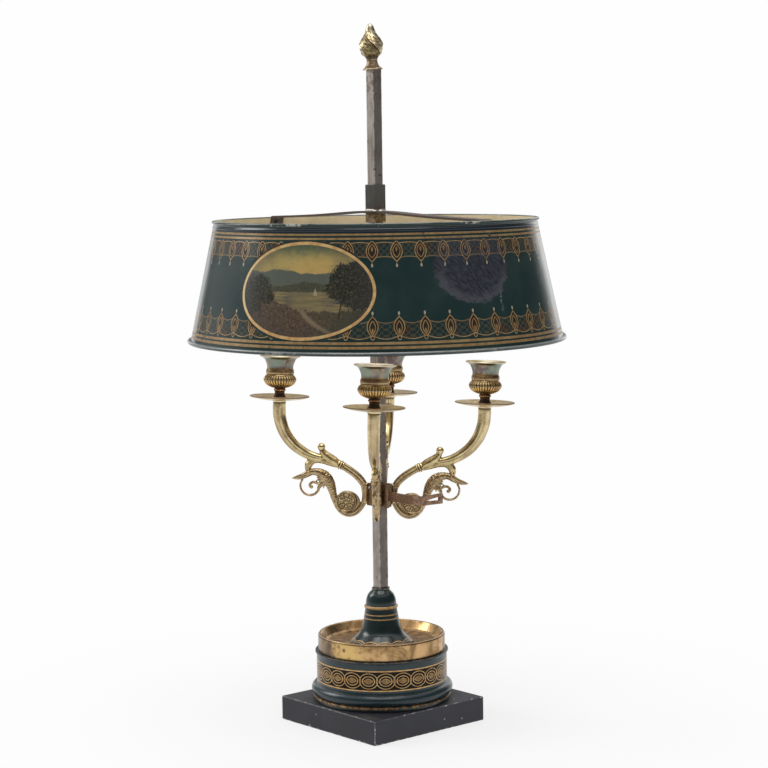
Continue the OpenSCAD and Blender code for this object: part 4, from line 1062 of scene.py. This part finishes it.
def build_drum(material):
    z = PLINTH_TOP
    inner = DRUM_R - 1.2
    outline = ring_outline(
        soften([(inner, z), (DRUM_R + 3.8, z), (DRUM_R + 3.8, z + 5), (DRUM_R + 2, z + 5.3)], 0.7),
        arc((DRUM_R - 0.4, z + 11), 6, -68, 72, 22),
        soften([(DRUM_R + 0.4, z + 17.2), (DRUM_R, z + 18.2), (DRUM_R, DRUM_TOP - 3),
                (DRUM_R + 0.4, DRUM_TOP - 2), (DRUM_R + 1.4, DRUM_TOP - 1.7),
                (DRUM_R + 1.4, DRUM_TOP), (inner - 12, DRUM_TOP),
                (inner - 12, DRUM_TOP - 1.2), (inner, DRUM_TOP - 1.2)], 0.45))
    mesh = lathe("drum_body", outline, 256)
    piece("drum_body", sharpen(mesh), "base", material, ["drum"])


def build_tray(material):
    r, z = TRAY_R, TRAY_TOP
    outline = soften([
        (r - 2.4, DRUM_TOP), (r, DRUM_TOP), (r, z - 1.5), (r - 0.2, z - 1.2), (r - 0.75, z - 1),
        (r - 0.75, z), (r - 2.6, z), (r - 3.3, z - 0.8), (r - 7.2, z - 7.6), (r - 9.6, DISH_Z + 0.3),
        (r - 12, DISH_Z), (BELL_FOOT_R - 4, DISH_Z), (BELL_FOOT_R - 4, DISH_Z - 2.4),
        (r - 12, DISH_Z - 2.4), (r - 4, DISH_Z + 1.5), (r - 2.4, DISH_Z - 1)], 0.5)
    mesh = lathe("tray_ring", outline, 256)
    piece("tray_ring", sharpen(mesh), "base", material, ["tray"])


def build_pedestal(material):
    def at(r, share):
        return (r, DISH_Z + share * BELL_H)
    foot, ring, collar = BELL_FOOT_R, 17, 8.6
    bell = smooth_line([at(foot, 0.02), at(foot * 0.83, 0.1), at(foot * 0.66, 0.205),
                        at(ring * 1.07, 0.39), at(ring * 0.95, 0.6)], 9)
    dome = smooth_line([at(ring * 0.91, 0.69), at(ring * 0.88, 0.78), at(ring * 0.76, 0.88),
                        at(collar, 0.965)], 8)
    bead = arc((ring - 1.3, DISH_Z + 0.655 * BELL_H), 1.4, -80, 80, 8)
    outline = ring_outline(
        [at(foot - 2, 0), at(foot - 0.4, 0.002)], bell, bead, dome,
        soften([at(collar, 0.968), at(collar + 0.5, 0.972), at(collar + 0.5, 1),
                at(collar - 0.9, 1)], 0.25),
        [at(collar - 1.2, 0.9), at(ring * 0.7, 0.7), at(ring * 0.75, 0.4), at(foot * 0.6, 0.1)])
    mesh = lathe("pedestal_bell", outline, 160)
    piece("pedestal_bell", sharpen(mesh), "base", material, ["pedestal"])


# where the leaf's edge that faces the camera crosses the bud's middle, and its slant in radians
LEAF_EDGE = 118
LEAF_TWIST = 4.1


def build_finial(material):
    def at(share_r, share_h):
        return (share_r * FINIAL_R, share_h * FINIAL_H)
    foot = smooth_line([at(0.83, 0), at(0.82, 0.02), at(0.62, 0.064), at(0.5, 0.125),
                        at(0.45, 0.19), at(0.49, 0.25)], 6)
    bud = smooth_line([at(0.58, 0.285), at(0.8, 0.345), at(0.97, 0.46), at(0.93, 0.55),
                       at(0.75, 0.665), at(0.49, 0.785), at(0.38, 0.86), at(0.26, 0.95),
                       at(0.05, 1)], 16)
    outline = ring_outline([at(0.26, 0)], foot, bud, [at(0.002, 1), at(0.002, 0.9), at(0.24, 0.25)])

    def relief(r, z, angle):
        # four broad leaves wrap the bud on a slant, each over the next, with small lobes below
        share = z / FINIAL_H
        lay = (angle - math.radians(LEAF_EDGE) + LEAF_TWIST * (share - 0.45)) * 4 / TAU % 1
        sheet = unit(lay / 0.05) * (1 - lay) ** 0.8
        curl = 0.5 * swell(lay - 0.07, 0.05) - 0.35 * swell(lay - 0.5, 0.13)
        grow = unit((share - 0.29) / 0.06) * unit((0.83 - share) / 0.07)
        veins = 0.13 * np.cos(lay * 4.5 * TAU) + 0.14 * np.sin(share * 47 + lay * 9)
        lobes = hill(share - 0.34, 0.06) * (np.abs(np.cos(angle * 5)) - 0.5)
        leaf = grow * (1.2 * sheet + curl + veins - 0.65)
        return np.where((share > 0.28) & (r > 1), leaf + 0.9 * lobes, 0)

    mesh = store_cavity(lathe("finial_bud", outline, 240, relief), 6, 2.2)
    mesh.transform(Matrix.Rotation(FINIAL_LEAN, 4, "Y"))
    turn = math.atan2(FINIAL_OFF.y, FINIAL_OFF.x)
    place = (Matrix.Translation((0, 0, (STEM_TOP - 0.34) * MM)) @ Matrix.Rotation(turn, 4, "Z")
             @ Matrix.Translation((FINIAL_SHIFT * MM, 0, 0)))
    piece("finial_bud", mesh, "base", material, ["finial"], place)


def build_pan(material):
    boss_h, t, lift = 1.6, 1.5, 3.4
    flat = URN_FOOT_R * 1.28
    top_face = boss_h + t
    upper = smooth_line([(2.1, top_face), (flat, top_face),
                         (PAN_R * 0.55, top_face + lift * 0.22),
                         (PAN_R * 0.8, top_face + lift * 0.58),
                         (PAN_R - 1.3, top_face + lift * 0.94)], 6)
    rim = arc((PAN_R - 0.72, boss_h + lift + t * 0.5), 0.7, 115, -90, 10)
    under = smooth_line([(PAN_R - 1.6, boss_h + lift * 0.93), (PAN_R * 0.8, boss_h + lift * 0.58),
                         (PAN_R * 0.55, boss_h + lift * 0.22), (flat, boss_h)], 6)
    boss = soften([(PAN_BOSS_R + 0.7, boss_h), (PAN_BOSS_R, boss_h - 0.3), (PAN_BOSS_R, 0.2),
                   (PAN_BOSS_R - 0.4, 0), (2.1, 0)], 0.3)
    mesh = store_cavity(lathe("drip_pan", upper + rim + under + boss, 160), 3, 1.5)
    four_pieces("pan", mesh, material, "drip_pan", ARM_REACH, SEAT_H)


def build_urn(material):
    h = URN_TOP_H - URN_FOOT_H
    foot, neck = URN_FOOT_R, URN_FOOT_R * 0.7

    def at(r, share):
        return (r, share * h)
    base = soften([at(foot, 0), at(foot + 0.4, 0.03), at(foot, 0.07), at(foot * 0.86, 0.1)], 0.3)
    shaft = smooth_line([at(foot * 0.8, 0.12), at(neck * 0.98, 0.19), at(neck, 0.29)], 4)
    knop = arc((foot * 0.78 - 0.6, 0.365 * h), 1.15, -80, 80, 8)
    bowl = smooth_line([at(neck * 1.12, 0.44), at(URN_R * 0.5, 0.465), at(URN_R * 0.8, 0.56),
                        at(URN_R * 0.97, 0.7), at(URN_R, 0.8), at(URN_R * 0.93, 0.9),
                        at(URN_R * 0.84, 0.965)], 9)
    outline = ring_outline([at(2.2, 0)], base, shaft, knop, bowl,
                           [at(URN_R * 0.82, 1), at(URN_R * 0.7, 1), at(2.2, 0.9)])
    gadroons, facets = 34, 10

    def relief(r, z, angle):
        share = z / h
        on_bowl = np.sqrt(hill(share - 0.71, 0.25))
        lobes = np.abs(np.cos(angle * gadroons / 2)) ** 0.75
        rope = np.abs(np.cos(angle * 9 + share * 40))
        on_knop = hill(share - 0.365, 0.05)
        outside = r > 2.5
        return np.where(outside, -1 * on_bowl * (1 - lobes) - 0.35 * on_knop * (1 - rope), 0)

    mesh = store_cavity(lathe("urn", outline, gadroons * facets, relief), 5, 1.5)
    four_pieces("urn_bowl", mesh, material, "urn", ARM_REACH, URN_FOOT_H)


def build_nozzle(material):
    h = RIM_H - URN_TOP_H
    band, bore = URN_R * 0.85, 11.25
    neck = bore + 1.9

    def at(r, share):
        return (r, share * h)
    outer = soften([at(band - 1.6, 0), at(band, 0.015), at(band + 0.2, 0.1), at(band, 0.19),
                    at(neck + 0.5, 0.225)], 0.35)
    flare = smooth_line([at(neck, 0.3), at(neck * 1.01, 0.45), at(neck * 1.1, 0.64),
                         at(LIP_R * 0.8, 0.82), at(LIP_R * 0.96, 0.91)], 7)
    lip = arc((LIP_R - 0.62, 0.955 * h), 0.62, -80, 110, 8)
    dish = smooth_line([at(LIP_R - 2.2, 0.93), at(LIP_R * 0.78, 0.86), at(bore + 1, 0.8),
                        at(bore, 0.74)], 4)
    outline = ring_outline(outer, flare, lip, dish, [at(bore, 0), at(bore, -0.1), at(3, -0.1),
                                                     at(3, -0.16), at(band - 2.4, -0.16)])
    mesh = store_cavity(lathe("nozzle", outline, 144), 3, 1.4)
    four_pieces("nozzle_cup", mesh, material, "nozzle", ARM_REACH, URN_TOP_H)


def build_shade(material):
    low_roll = (WALL_LOW_R - SHEET + LOW_ROLL_R, SHADE_LOW + LOW_ROLL_R)
    top_roll = (WALL_TOP_R - SHEET + TOP_ROLL_R, SHADE_TOP - TOP_ROLL_R)
    wall = [(shade_wall(z), z) for z in np.linspace(SHADE_LOW + 4, SHADE_TOP - 7.5, 26)]
    band = [(shade_wall(z) + out, z) for z, out in (
        (SHADE_TOP - 7.1, 0.12), (SHADE_TOP - 6.7, 0.3), (SHADE_TOP - 5.1, 0.3),
        (SHADE_TOP - 4.7, -0.15), (SHADE_TOP - 3.9, -0.15), (SHADE_TOP - 3.5, 0.25),
        (SHADE_TOP - 3, 0.3))]
    inside = [(shade_wall(z) - SHEET, z) for z in np.linspace(SHADE_TOP - 1.6, SHADE_LOW + 2, 20)]
    outline = ring_outline(
        [(shade_wall(SHADE_LOW + 2.6) + 0.1, SHADE_LOW + 2.6)], wall, band,
        arc(top_roll, TOP_ROLL_R, -75, 150, 16), inside, arc(low_roll, LOW_ROLL_R, 200, 415, 18))

    def wobble(r, z, angle):
        share = (z - SHADE_LOW) / (SHADE_TOP - SHADE_LOW)
        waves = (0.28 * np.sin(3 * angle + 0.7) + 0.2 * np.sin(5 * angle + 2.1 + share)
                 + 0.12 * np.sin(11 * angle + 3 * share))
        return (waves - 0.6) * (0.5 + 0.5 * share)

    turns = 480
    mesh = lathe("shade_cone", outline, turns, wobble)
    first = outline.index(inside[0])
    inner = np.zeros((len(outline), turns))
    inner[first:first + len(inside)] = 1
    store(mesh, "inner", inner)
    piece("shade_cone", sharpen(mesh, 60), "shade", material, ["shade_shell"])


# ---- the swan-scroll branch

def knots(*rows):
    """Knots in mm, from (hundredths of the reach, hundredths of the rise, width, thickness)."""
    return [(x * ARM_REACH / 100, z * SEAT_H / 100, w, t) for x, z, w, t in rows]


def sweep(line, steps, sides, relief=None):
    """(vertices, faces) of a rod in the XZ plane along (distance, height, width, thickness).

    relief(s, a) scales its section: s is the length in mm up to there, and a is the angle round
    the section, 0 on one edge and a quarter turn on the +Y face.
    """
    line = np.array(smooth_line(line, steps))
    along = np.gradient(line[:, :2], axis=0)
    along /= np.linalg.norm(along, axis=1)[:, None].clip(1e-9)
    across = np.stack([-along[:, 1], along[:, 0]], 1)
    step = np.linalg.norm(np.diff(line[:, :2], axis=0), axis=1)
    s = np.concatenate([[0], np.cumsum(step)])[:, None]
    a = around(sides)
    scale = relief(s + 0 * a, a + 0 * s) if relief else 1
    w = np.cos(a) * line[:, 2:3] / 2 * scale
    t = np.sin(a) * line[:, 3:4] / 2 * scale
    verts = np.stack([line[:, 0:1] + across[:, 0:1] * w, t, line[:, 1:2] + across[:, 1:2] * w], -1)
    return verts.reshape(-1, 3), ring_faces(len(line), sides)


def fluted(depth, wide=0.5):
    """A groove down both faces of a rod, with a raised edge on each side of it."""
    def relief(s, a):
        q = np.abs(np.cos(a))
        return 1 - depth * swell(q, wide) + depth * 0.3 * swell(q - 0.8, 0.2)
    return relief


def feathered(pitch, count, lift):
    """Rows of overlapping scales along a rod."""
    def relief(s, a):
        row = np.floor(s / pitch)
        t = s / pitch - row
        x = (a * count / TAU + 0.5 * (row % 2)) % 1 - 0.5
        end = 1 - 2.2 * x * x
        return 1 + lift * np.where(t < end, 0.25 + 0.75 * t / end, 0) - lift * 0.3
    return relief


def rosette_solid(r, thick):
    """A disc with a raised rim, eight hollowed petals and a beaded boss, alike on both faces."""
    turns = 96
    radii = np.concatenate([np.linspace(0.02, 0.98, 34), [1, 1]]) * r
    angle = around(turns)
    q = (radii / r)[:, None] + 0 * angle
    lobe = np.abs(np.cos(angle * 4)) + 0 * q
    petal = unit((lobe - 0.25) * 3) * unit((0.8 - q) / 0.08)
    petal = petal * unit((q - 0.24) / 0.08)
    hollow = swell(q - 0.55, 0.16) * unit((lobe - 0.75) * 5) * 0.8
    rim = np.sqrt(hill(q - 0.915, 0.08))
    boss = np.sqrt(hill(q, 0.2)) * 1.2
    beads = hill(q - 0.25, 0.05) * np.abs(np.cos(angle * 5))
    height = thick / 2 + petal * 0.95 - hollow * 0.7 + rim * 1.1 + boss + beads * 0.5
    height[-1] = 0
    face = np.stack([radii[:, None] * np.cos(angle), height, radii[:, None] * np.sin(angle)], -1)
    back = face * np.array([1, -1, 1])
    verts = np.concatenate([face.reshape(-1, 3), back[::-1].reshape(-1, 3)])
    return verts, ring_faces(2 * len(radii), turns)


def ball(centre, r, squash=(1, 1, 1)):
    """A round bead, as rings from pole to pole."""
    turns, rows = 24, 13
    lift = np.linspace(-math.pi / 2 + 0.05, math.pi / 2 - 0.05, rows)[:, None]
    a = around(turns)
    skin = np.stack([np.cos(lift) * np.cos(a), np.cos(lift) * np.sin(a), np.sin(lift) + 0 * a], -1)
    verts = skin.reshape(-1, 3) * r * np.array(squash) + np.array(centre)
    return verts, ring_faces(rows, turns)


def branch_solids():
    """Every solid of one branch, lying along +X with the hub's middle at height 0."""
    corner = HUB_HALF * math.sqrt(2)
    root, root_t = corner + 2.3, 5.76
    solids = []

    def rod(line, steps, sides, relief=None):
        solids.append(sweep(line, steps, sides, relief))

    def bead(x, z, r, y=0, squash=(1, 1, 1)):
        solids.append(ball((x * ARM_REACH / 100, y, z * SEAT_H / 100), r, squash))

    # from the hub through the collar and the leaf to the horn's top
    rod([(root, -3.01, 4.9, root_t), (root + 0.35, 3.01, 5.95, root_t)] + knots(
        (15.6, 10.3, 7, root_t), (20.2, 17.6, 7.35, 7), (28, 24.8, 7.35, 7), (39, 32, 7.35, 7),
        (51, 36.8, 7.7, 7.7), (60.5, 38.8, 7.7, 7.7)), 14, 64, fluted(0.26, 0.4))
    rod(knots(
        (55, 37.6, 7, 7), (60.5, 38.8, 8.05, 8.4), (69.5, 41.5, 9.36, 9.36), (78, 46.6, 10.4, 10.4),
        (87, 54.9, 11.31, 11.31), (94.6, 67, 12.09, 12.09), (99, 81, 12.74, 12.74),
        (100, 92, 13, 13), (100, 98.6, 13, 13), (100, 99.9, 12.09, 12.09)), 14, 72, fluted(0.1, 0.3))
    # from the hub round the rosette to the root of the neck
    rod([(root, 3.01, 4.9, root_t), (root + 0.21, -2.8, 5.25, root_t)] + knots(
        (15.2, -9.5, 5.25, 6), (18.2, -15.8, 5.25, 6.4), (22.5, -21, 5.04, 6.4),
        (28.6, -23.6, 4.9, 6.4), (34.9, -22, 4.9, 6.4), (39.4, -17.3, 5.25, 6.4),
        (42.6, -10.2, 5.95, 6.8), (44.8, -3.2, 7, 7.04), (46.2, 2.5, 7, 6.88)),
        12, 56, fluted(0.26, 0.45))
    # the feathered neck, then the beak and the head with its eyes and crest
    rod(knots(
        (43.6, -6.5, 5.6, 6.4), (45.4, -0.6, 7.14, 7.36), (46.9, 5, 8.54, 8), (48.9, 11.2, 9.8, 8),
        (52.4, 17.3, 10.15, 8), (57.5, 21.4, 8.89, 7.2), (62.9, 22.9, 7.14, 6.56),
        (66, 22.9, 6.3, 6.08)), 28, 56, feathered(2.6, 9, 0.13))
    rod(knots(
        (63.5, 22.9, 5.95, 5.76), (67.7, 22.4, 7, 6.8), (72, 19.8, 6.65, 6.08), (76.2, 17.4, 5.6, 4.48),
        (80.3, 16.1, 4.62, 3.36), (83.8, 15.4, 2.8, 2.24), (86.2, 15, 0.84, 1.12)), 12, 40, beak_line)
    for side in (-1, 1):
        bead(69.6, 22.6, 1.15, side * 3.2)
        bead(70.5, 25.6, 2.1, side * 1.76)
    # the leaf that sheathes the branch up to its curled tip, and the lobe down to the head
    rod(knots((40.3, 32, 7.35, 7.84), (45, 35.3, 9.8, 9.1), (50.2, 39, 9.8, 9.1), (54.6, 42.9, 8.54, 8.4),
              (57.3, 47.6, 6.02, 7), (57.9, 50.5, 4.62, 5.25)), 24, 56, stippled(1.5, 0.07))
    bead(57.9, 51, 3.99, 0, (1, 1.05, 1))
    rod(knots((42, 30.6, 4.55, 6.65), (49, 33, 5.46, 7.35), (56, 35.4, 5.95, 7.7), (62, 36.3, 6.44, 7.56),
              (66.6, 35.2, 7.7, 7), (69.7, 31.6, 8.05, 7), (70.6, 27.4, 6.65, 6.3),
              (70.4, 23.5, 5.04, 5.32)), 18, 56, lobed(0.16))
    # the thin ring under the beak and the volute inside it, both springing from feather tips
    bends = [math.radians(40 - 32 * i) for i in range(7)]
    rod(knots(*[(68.3 + RING_R * math.cos(a), 7.3 + RING_R * ARM_REACH / SEAT_H * math.sin(a),
                 2.03 + 0.105 * i, 3.2) for i, a in enumerate(bends)],
              (59.8, 5, 3.15, 4), (57.5, 9.5, 3.85, 4.8), (54, 13, 4.2, 4.8)), 10, 28)
    rod(knots((54, 9.6, 3.5, 4.96), (57.5, 8.6, 3.29, 4.64), (60.4, 9.7, 3.01, 4.16),
              (63.4, 11.2, 2.8, 3.84), (66.5, 10.8, 2.66, 3.68), (68.6, 8.3, 2.52, 3.6),
              (68.1, 5.8, 2.24, 3.36)), 10, 28)
    bead(66.9, 5.9, 1.89)
    for x, z in ((61.8, 16.4), (62.3, 13.4), (60.2, 10.4), (59.4, 3.2), (55.2, 4.6), (52.4, 7.2)):
        rod(knots((53, 13.6, 4.2, 5.6), ((53 + x) / 2, (13.6 + z) / 2 + 90 / SEAT_H, 3.15, 4.8),
                  (x, z, 0.84, 2)), 8, 20)
    # the collar's three rings
    for x, z, r, thick in ((36.6, 30.3, 4.15, 0.7), (38.6, 31.4, 4.6, 1), (40.6, 32.5, 4.25, 0.7)):
        along = np.array([math.cos(COLLAR_SLANT), math.sin(COLLAR_SLANT)]) * thick
        middle = np.array([x * ARM_REACH, z * SEAT_H]) / 100
        rod([(*(middle + along * q), w * r, w * r) for q, w in (
            (-1, 1.1), (-0.6, 2), (0.6, 2), (1, 1.1))], 5, 32, lambda s, a: 1 + 0.05 * np.cos(a * 14))
    # the rosette, the sunk web behind it and the pad that meets the hub
    middle = np.array([ROSE_X, 0, ROSE_Z])
    verts, faces = rosette_solid(ROSE_R, 4.8)
    solids.append((verts + middle, faces))
    solids.append(disc(middle + np.array([-1.8, 0, -2]), 12.4, 3))
    rod([(corner + 1.2, -8, 4.8, root_t * 0.9), (corner + 1.4, -7, 5.6, root_t),
         (corner + 1.4, 8.2, 5.6, root_t), (corner + 1.2, 9.2, 4.8, root_t * 0.9)], 4, 24)
    return solids


def beak_line(s, a):
    """The groove along the beak's sides and the hollow behind the eye."""
    side = swell(np.cos(a), 0.22)
    return 1 - 0.2 * side * unit((s - 8) / 3) * unit((22 - s) / 4)


def stippled(pitch, lift):
    """Small grains in staggered rows, as on the leaf."""
    def relief(s, a):
        columns = a * 18 / TAU
        return 1 + lift * np.cos(s / pitch * TAU) * np.cos(columns * TAU) - lift * 0.5
    return relief


def lobed(depth):
    """Grooves on a lobe's side faces that run along it, with nicks in its lower edge."""
    def relief(s, a):
        q = np.abs(np.cos(a))
        lines = swell(q - 0.15, 0.16) + 0.7 * swell(q - 0.68, 0.1)
        lower = unit(-np.cos(a))
        return 1 - depth * lines + 0.05 * lower * np.cos(s / 2.1 * TAU)
    return relief


def disc(centre, r, thick):
    """A flat round pad with bevelled edges, its faces turned to either side of the branch."""
    turns = 72
    a = around(turns)[0]
    rows = [(0.02, 1), (0.97, 1), (1, 0.8), (1, -0.8), (0.97, -1), (0.02, -1)]
    verts = np.concatenate([np.stack([
        centre[0] + r * q * np.cos(a), centre[1] + side * thick / 2 + 0 * a,
        centre[2] + r * q * np.sin(a)], 1) for q, side in rows])
    return verts, ring_faces(len(rows), turns)


def fuse(name, solids, voxel):
    """One skin round overlapping solids, remeshed at voxel mm and lightly smoothed."""
    verts, faces, start = [], [], 0
    for v, f in solids:
        verts.append(v)
        faces += [tuple(i + start for i in face) for face in f]
        start += len(v)
    rough = make_mesh(name + "_rough", np.concatenate(verts), faces)
    holder = put(name + "_rough", rough)
    remesh = holder.modifiers.new("skin", "REMESH")
    remesh.mode = "VOXEL"
    remesh.voxel_size = voxel * MM
    remesh.use_smooth_shade = True
    smooth = holder.modifiers.new("smooth", "SMOOTH")
    smooth.factor = 0.5
    smooth.iterations = 1
    depsgraph = bpy.context.evaluated_depsgraph_get()
    skin = bpy.data.meshes.new_from_object(holder.evaluated_get(depsgraph))
    skin.name = name
    bpy.data.objects.remove(holder)
    bpy.data.meshes.remove(rough)
    return skin


def build_branches(material):
    mesh = store_cavity(fuse("branch", branch_solids(), voxel=0.38), 7, 1.5)
    four_pieces("branch", mesh, material, "arm")


def build_solder(material):
    """The lumpy fillet of solder where the sheath passes through the strap."""
    rng = np.random.default_rng(5)
    half = SHEATH_SIDE / 2
    turns = 96
    angle = around(turns)[0]
    square = half / np.maximum(np.abs(np.cos(angle)), np.abs(np.sin(angle)))
    square = np.minimum(square, half * 1.33)
    lumps = sum(rng.uniform(0.2, 0.6) * np.sin(k * angle + rng.uniform(0, TAU)) for k in (3, 5, 9))
    z = top("shade_strap")
    spread, height, sunk, inside = 1.9, 3.4, 0.25, square - 0.8
    rings = [(square - 0.3 + (spread + lumps) * (1 - t) ** 2.2, z - sunk + height * t)
             for t in np.linspace(0, 1, 12)] + [(inside, z + height - 0.4), (inside, z - sunk)]
    verts = [np.stack([r * np.cos(angle), r * np.sin(angle), h + 0 * r], 1) for r, h in rings]
    mesh = make_mesh("sheath_solder", np.concatenate(verts), ring_faces(len(rings), turns, True))
    piece("sheath_solder", mesh, "shade", material)


# ---- assembly

pan_brass = aged_metal("pan_brass", (0.9, 0.77, 0.5), (0.72, 0.58, 0.36), (0.56, 0.42, 0.26),
                       (0.24, 0.16, 0.09), rough=0.32, blotch=16, spots=0.04)
hub_brass = aged_metal("hub_brass", (0.27, 0.185, 0.12), (0.14, 0.098, 0.066), (0.17, 0.1, 0.062),
                       (0.03, 0.02, 0.012), rough=0.42, blotch=7, spots=0.1)
lever_iron = rusty_metal("lever_iron", (0.36, 0.215, 0.135), (0.2, 0.11, 0.068), 0.5, 0.38, 0.75)
strap_metal = rusty_metal("strap_metal", (0.1, 0.085, 0.075), (0.1, 0.05, 0.03), 0.4, 0.45, 0.7)
solder = rusty_metal("solder", (0.42, 0.39, 0.35), (0.22, 0.16, 0.11), 0.3, 0.38, 0.85)
hidden_iron = rusty_metal("hidden_iron", (0.2, 0.19, 0.18), (0.11, 0.06, 0.035), 0.4, 0.5, 0.7)
cast_weight = rusty_metal("cast_weight", (0.09, 0.085, 0.08), (0.1, 0.05, 0.03), 0.5, 0.65, 0.4)
spring_steel = rusty_metal("spring_steel", (0.3, 0.29, 0.27), (0.12, 0.07, 0.04), 0.25, 0.35, 0.9)

dress("plinth", plinth_paint(), 0.9, 4)
for node, material, edge in (
        ("stem", stem_metal(), 0.55), ("hub", hub_brass, 0.4), ("lever_pin", lever_iron, 0.3),
        ("clamp_lever", lever_iron, 0.45), ("shade_strap", strap_metal, 0.4),
        ("strap_rivets", strap_metal, 0.35), ("sheath", sheath_paint(), 0.35),
        ("sheath_spring", spring_steel, 0), ("shade_top_wire", hidden_iron, 0),
        ("shade_bottom_wire", hidden_iron, 0), ("candle_studs", hidden_iron, 0.3),
        ("stem_nut", hidden_iron, 0.3), ("stem_washer", hidden_iron, 0.2),
        ("ballast", cast_weight, 0.8)):
    dress(node, material, edge)

build_drum(drum_paint())
build_tray(brushed_tray())
build_pedestal(bell_paint())
build_finial(finial_metal())
build_pan(pan_brass)
build_urn(urn_metal())
build_nozzle(nozzle_metal())
build_branches(branch_metal())
build_shade(shade_paint())
build_solder(solder)


# ---- floor, light and camera

def stage_floor():
    """A white floor that keeps the shadow and fades into the white background."""
    mesh = bpy.data.meshes.new("floor")
    half = 6
    mesh.from_pydata([(-half, -half, 0), (half, -half, 0), (half, half, 0), (-half, half, 0)],
                     [], [(0, 1, 2, 3)])
    obj = put("floor", mesh)
    g = Graph("floor_white")
    _, r = g.polar()
    rays = g.add("ShaderNodeLightPath")
    seen = Val(g, rays.outputs["Is Camera Ray"]).most(Val(g, rays.outputs["Is Glossy Ray"])).most(
        Val(g, rays.outputs["Is Transmission Ray"]))
    matte = g.add("ShaderNodeBsdfDiffuse", {"Color": (0.8, 0.8, 0.8)})
    glow = g.add("ShaderNodeEmission", {"Color": (0.99, 0.99, 0.992), "Strength": 1})
    fade = r.step(110, 560)
    near = 0.74
    share = seen * (near + fade * (1 - near))
    blend = g.add("ShaderNodeMixShader", {0: share})
    g.tree.links.new(matte.outputs[0], blend.inputs[1])
    g.tree.links.new(glow.outputs[0], blend.inputs[2])
    mesh.materials.append(g.output(blend))


def stage_world():
    """A bright wall on the lamp's left and behind it, and a dim room on its right and before it.

    The metal and lacquer mirror this room; the camera sees it white, and it lights all else evenly.
    """
    world = bpy.data.worlds.new("studio")
    bpy.context.scene.world = world
    g = Graph("studio", world)
    angle, flat = g.polar()
    turn = ((angle - VIEW_ANGLE) / 360).fract()
    # 0 is the camera's side, 0.25 the right, 0.5 behind and 0.75 the left
    walls = g.ramp(turn, [
        (0, 0.1), (0.14, 0.12), (0.28, 0.09), (0.37, 0.1), (0.4, 0.55), (0.43, 1.7), (0.455, 1.25),
        (0.482, 0.55), (0.51, 0.4), (0.528, 0.15), (0.54, 0.8), (0.562, 1.4), (0.578, 0.6),
        (0.594, 0.16), (0.62, 0.42), (0.69, 0.68), (0.735, 0.37), (0.8, 0.16), (1, 0.1)])
    lift = g.math("ARCTAN2", g.z, flat) * math.degrees(1)
    room = walls + lift.step(30, 52) * (1.05 - walls)
    room = room + lift.step(58, 75) * 1.3
    room = room + lift.step(0, -3) * (1 - room)
    rays = g.add("ShaderNodeLightPath")
    mirrored = Val(g, rays.outputs["Is Glossy Ray"])
    seen = Val(g, rays.outputs["Is Camera Ray"]).most(Val(g, rays.outputs["Is Transmission Ray"]))
    strength = seen + (1 - seen) * (mirrored * room + (1 - mirrored) * 0.6)
    back = g.add("ShaderNodeBackground", {"Color": (0.99, 0.99, 0.99), "Strength": strength})
    g.output(back, "ShaderNodeOutputWorld")


def area_light(name, at, aim, size, watts):
    light = bpy.data.lights.new(name, "AREA")
    light.shape = "RECTANGLE"
    light.size, light.size_y = size
    light.energy = watts
    obj = put(name, light)
    obj.location = at
    obj.rotation_euler = (Vector(aim) - Vector(at)).to_track_quat("-Z", "Y").to_euler()


def stage_camera():
    """A view from far off, a little above the lamp's middle, rolled by a degree."""
    distance, height = 2.15, 0.566
    focal_px, width_px = 2164, 768
    pitch, roll = math.radians(5.95), math.radians(0.78)
    yaw = math.radians(0.16)
    a = math.radians(VIEW_ANGLE)
    camera = bpy.data.cameras.new("camera")
    camera.sensor_width = 36
    camera.lens = focal_px * camera.sensor_width / width_px
    camera.clip_end = 50
    obj = put("camera", camera)
    heading = a + math.pi - yaw
    forward = Vector((math.cos(heading) * math.cos(pitch), math.sin(heading) * math.cos(pitch),
                      -math.sin(pitch)))
    turn = forward.to_track_quat("-Z", "Y").to_matrix().to_4x4()
    turn = turn @ Matrix.Rotation(-roll, 4, "Z")
    place = Matrix.Translation((distance * math.cos(a), distance * math.sin(a), height))
    obj.matrix_world = place @ turn
    bpy.context.scene.camera = obj


stage_floor()
stage_world()
area_light("key", (-1.69, 2.48, 2.1), (0, 0, 0.3), (1.6, 1.6), 44)
area_light("overhead", (-0.3, -0.5, 2.6), (0, 0, 0.3), (1.8, 1.8), 29)
stage_camera()

settings = bpy.context.scene.view_settings
settings.view_transform = "Standard"

bpy.context.view_layer.update()
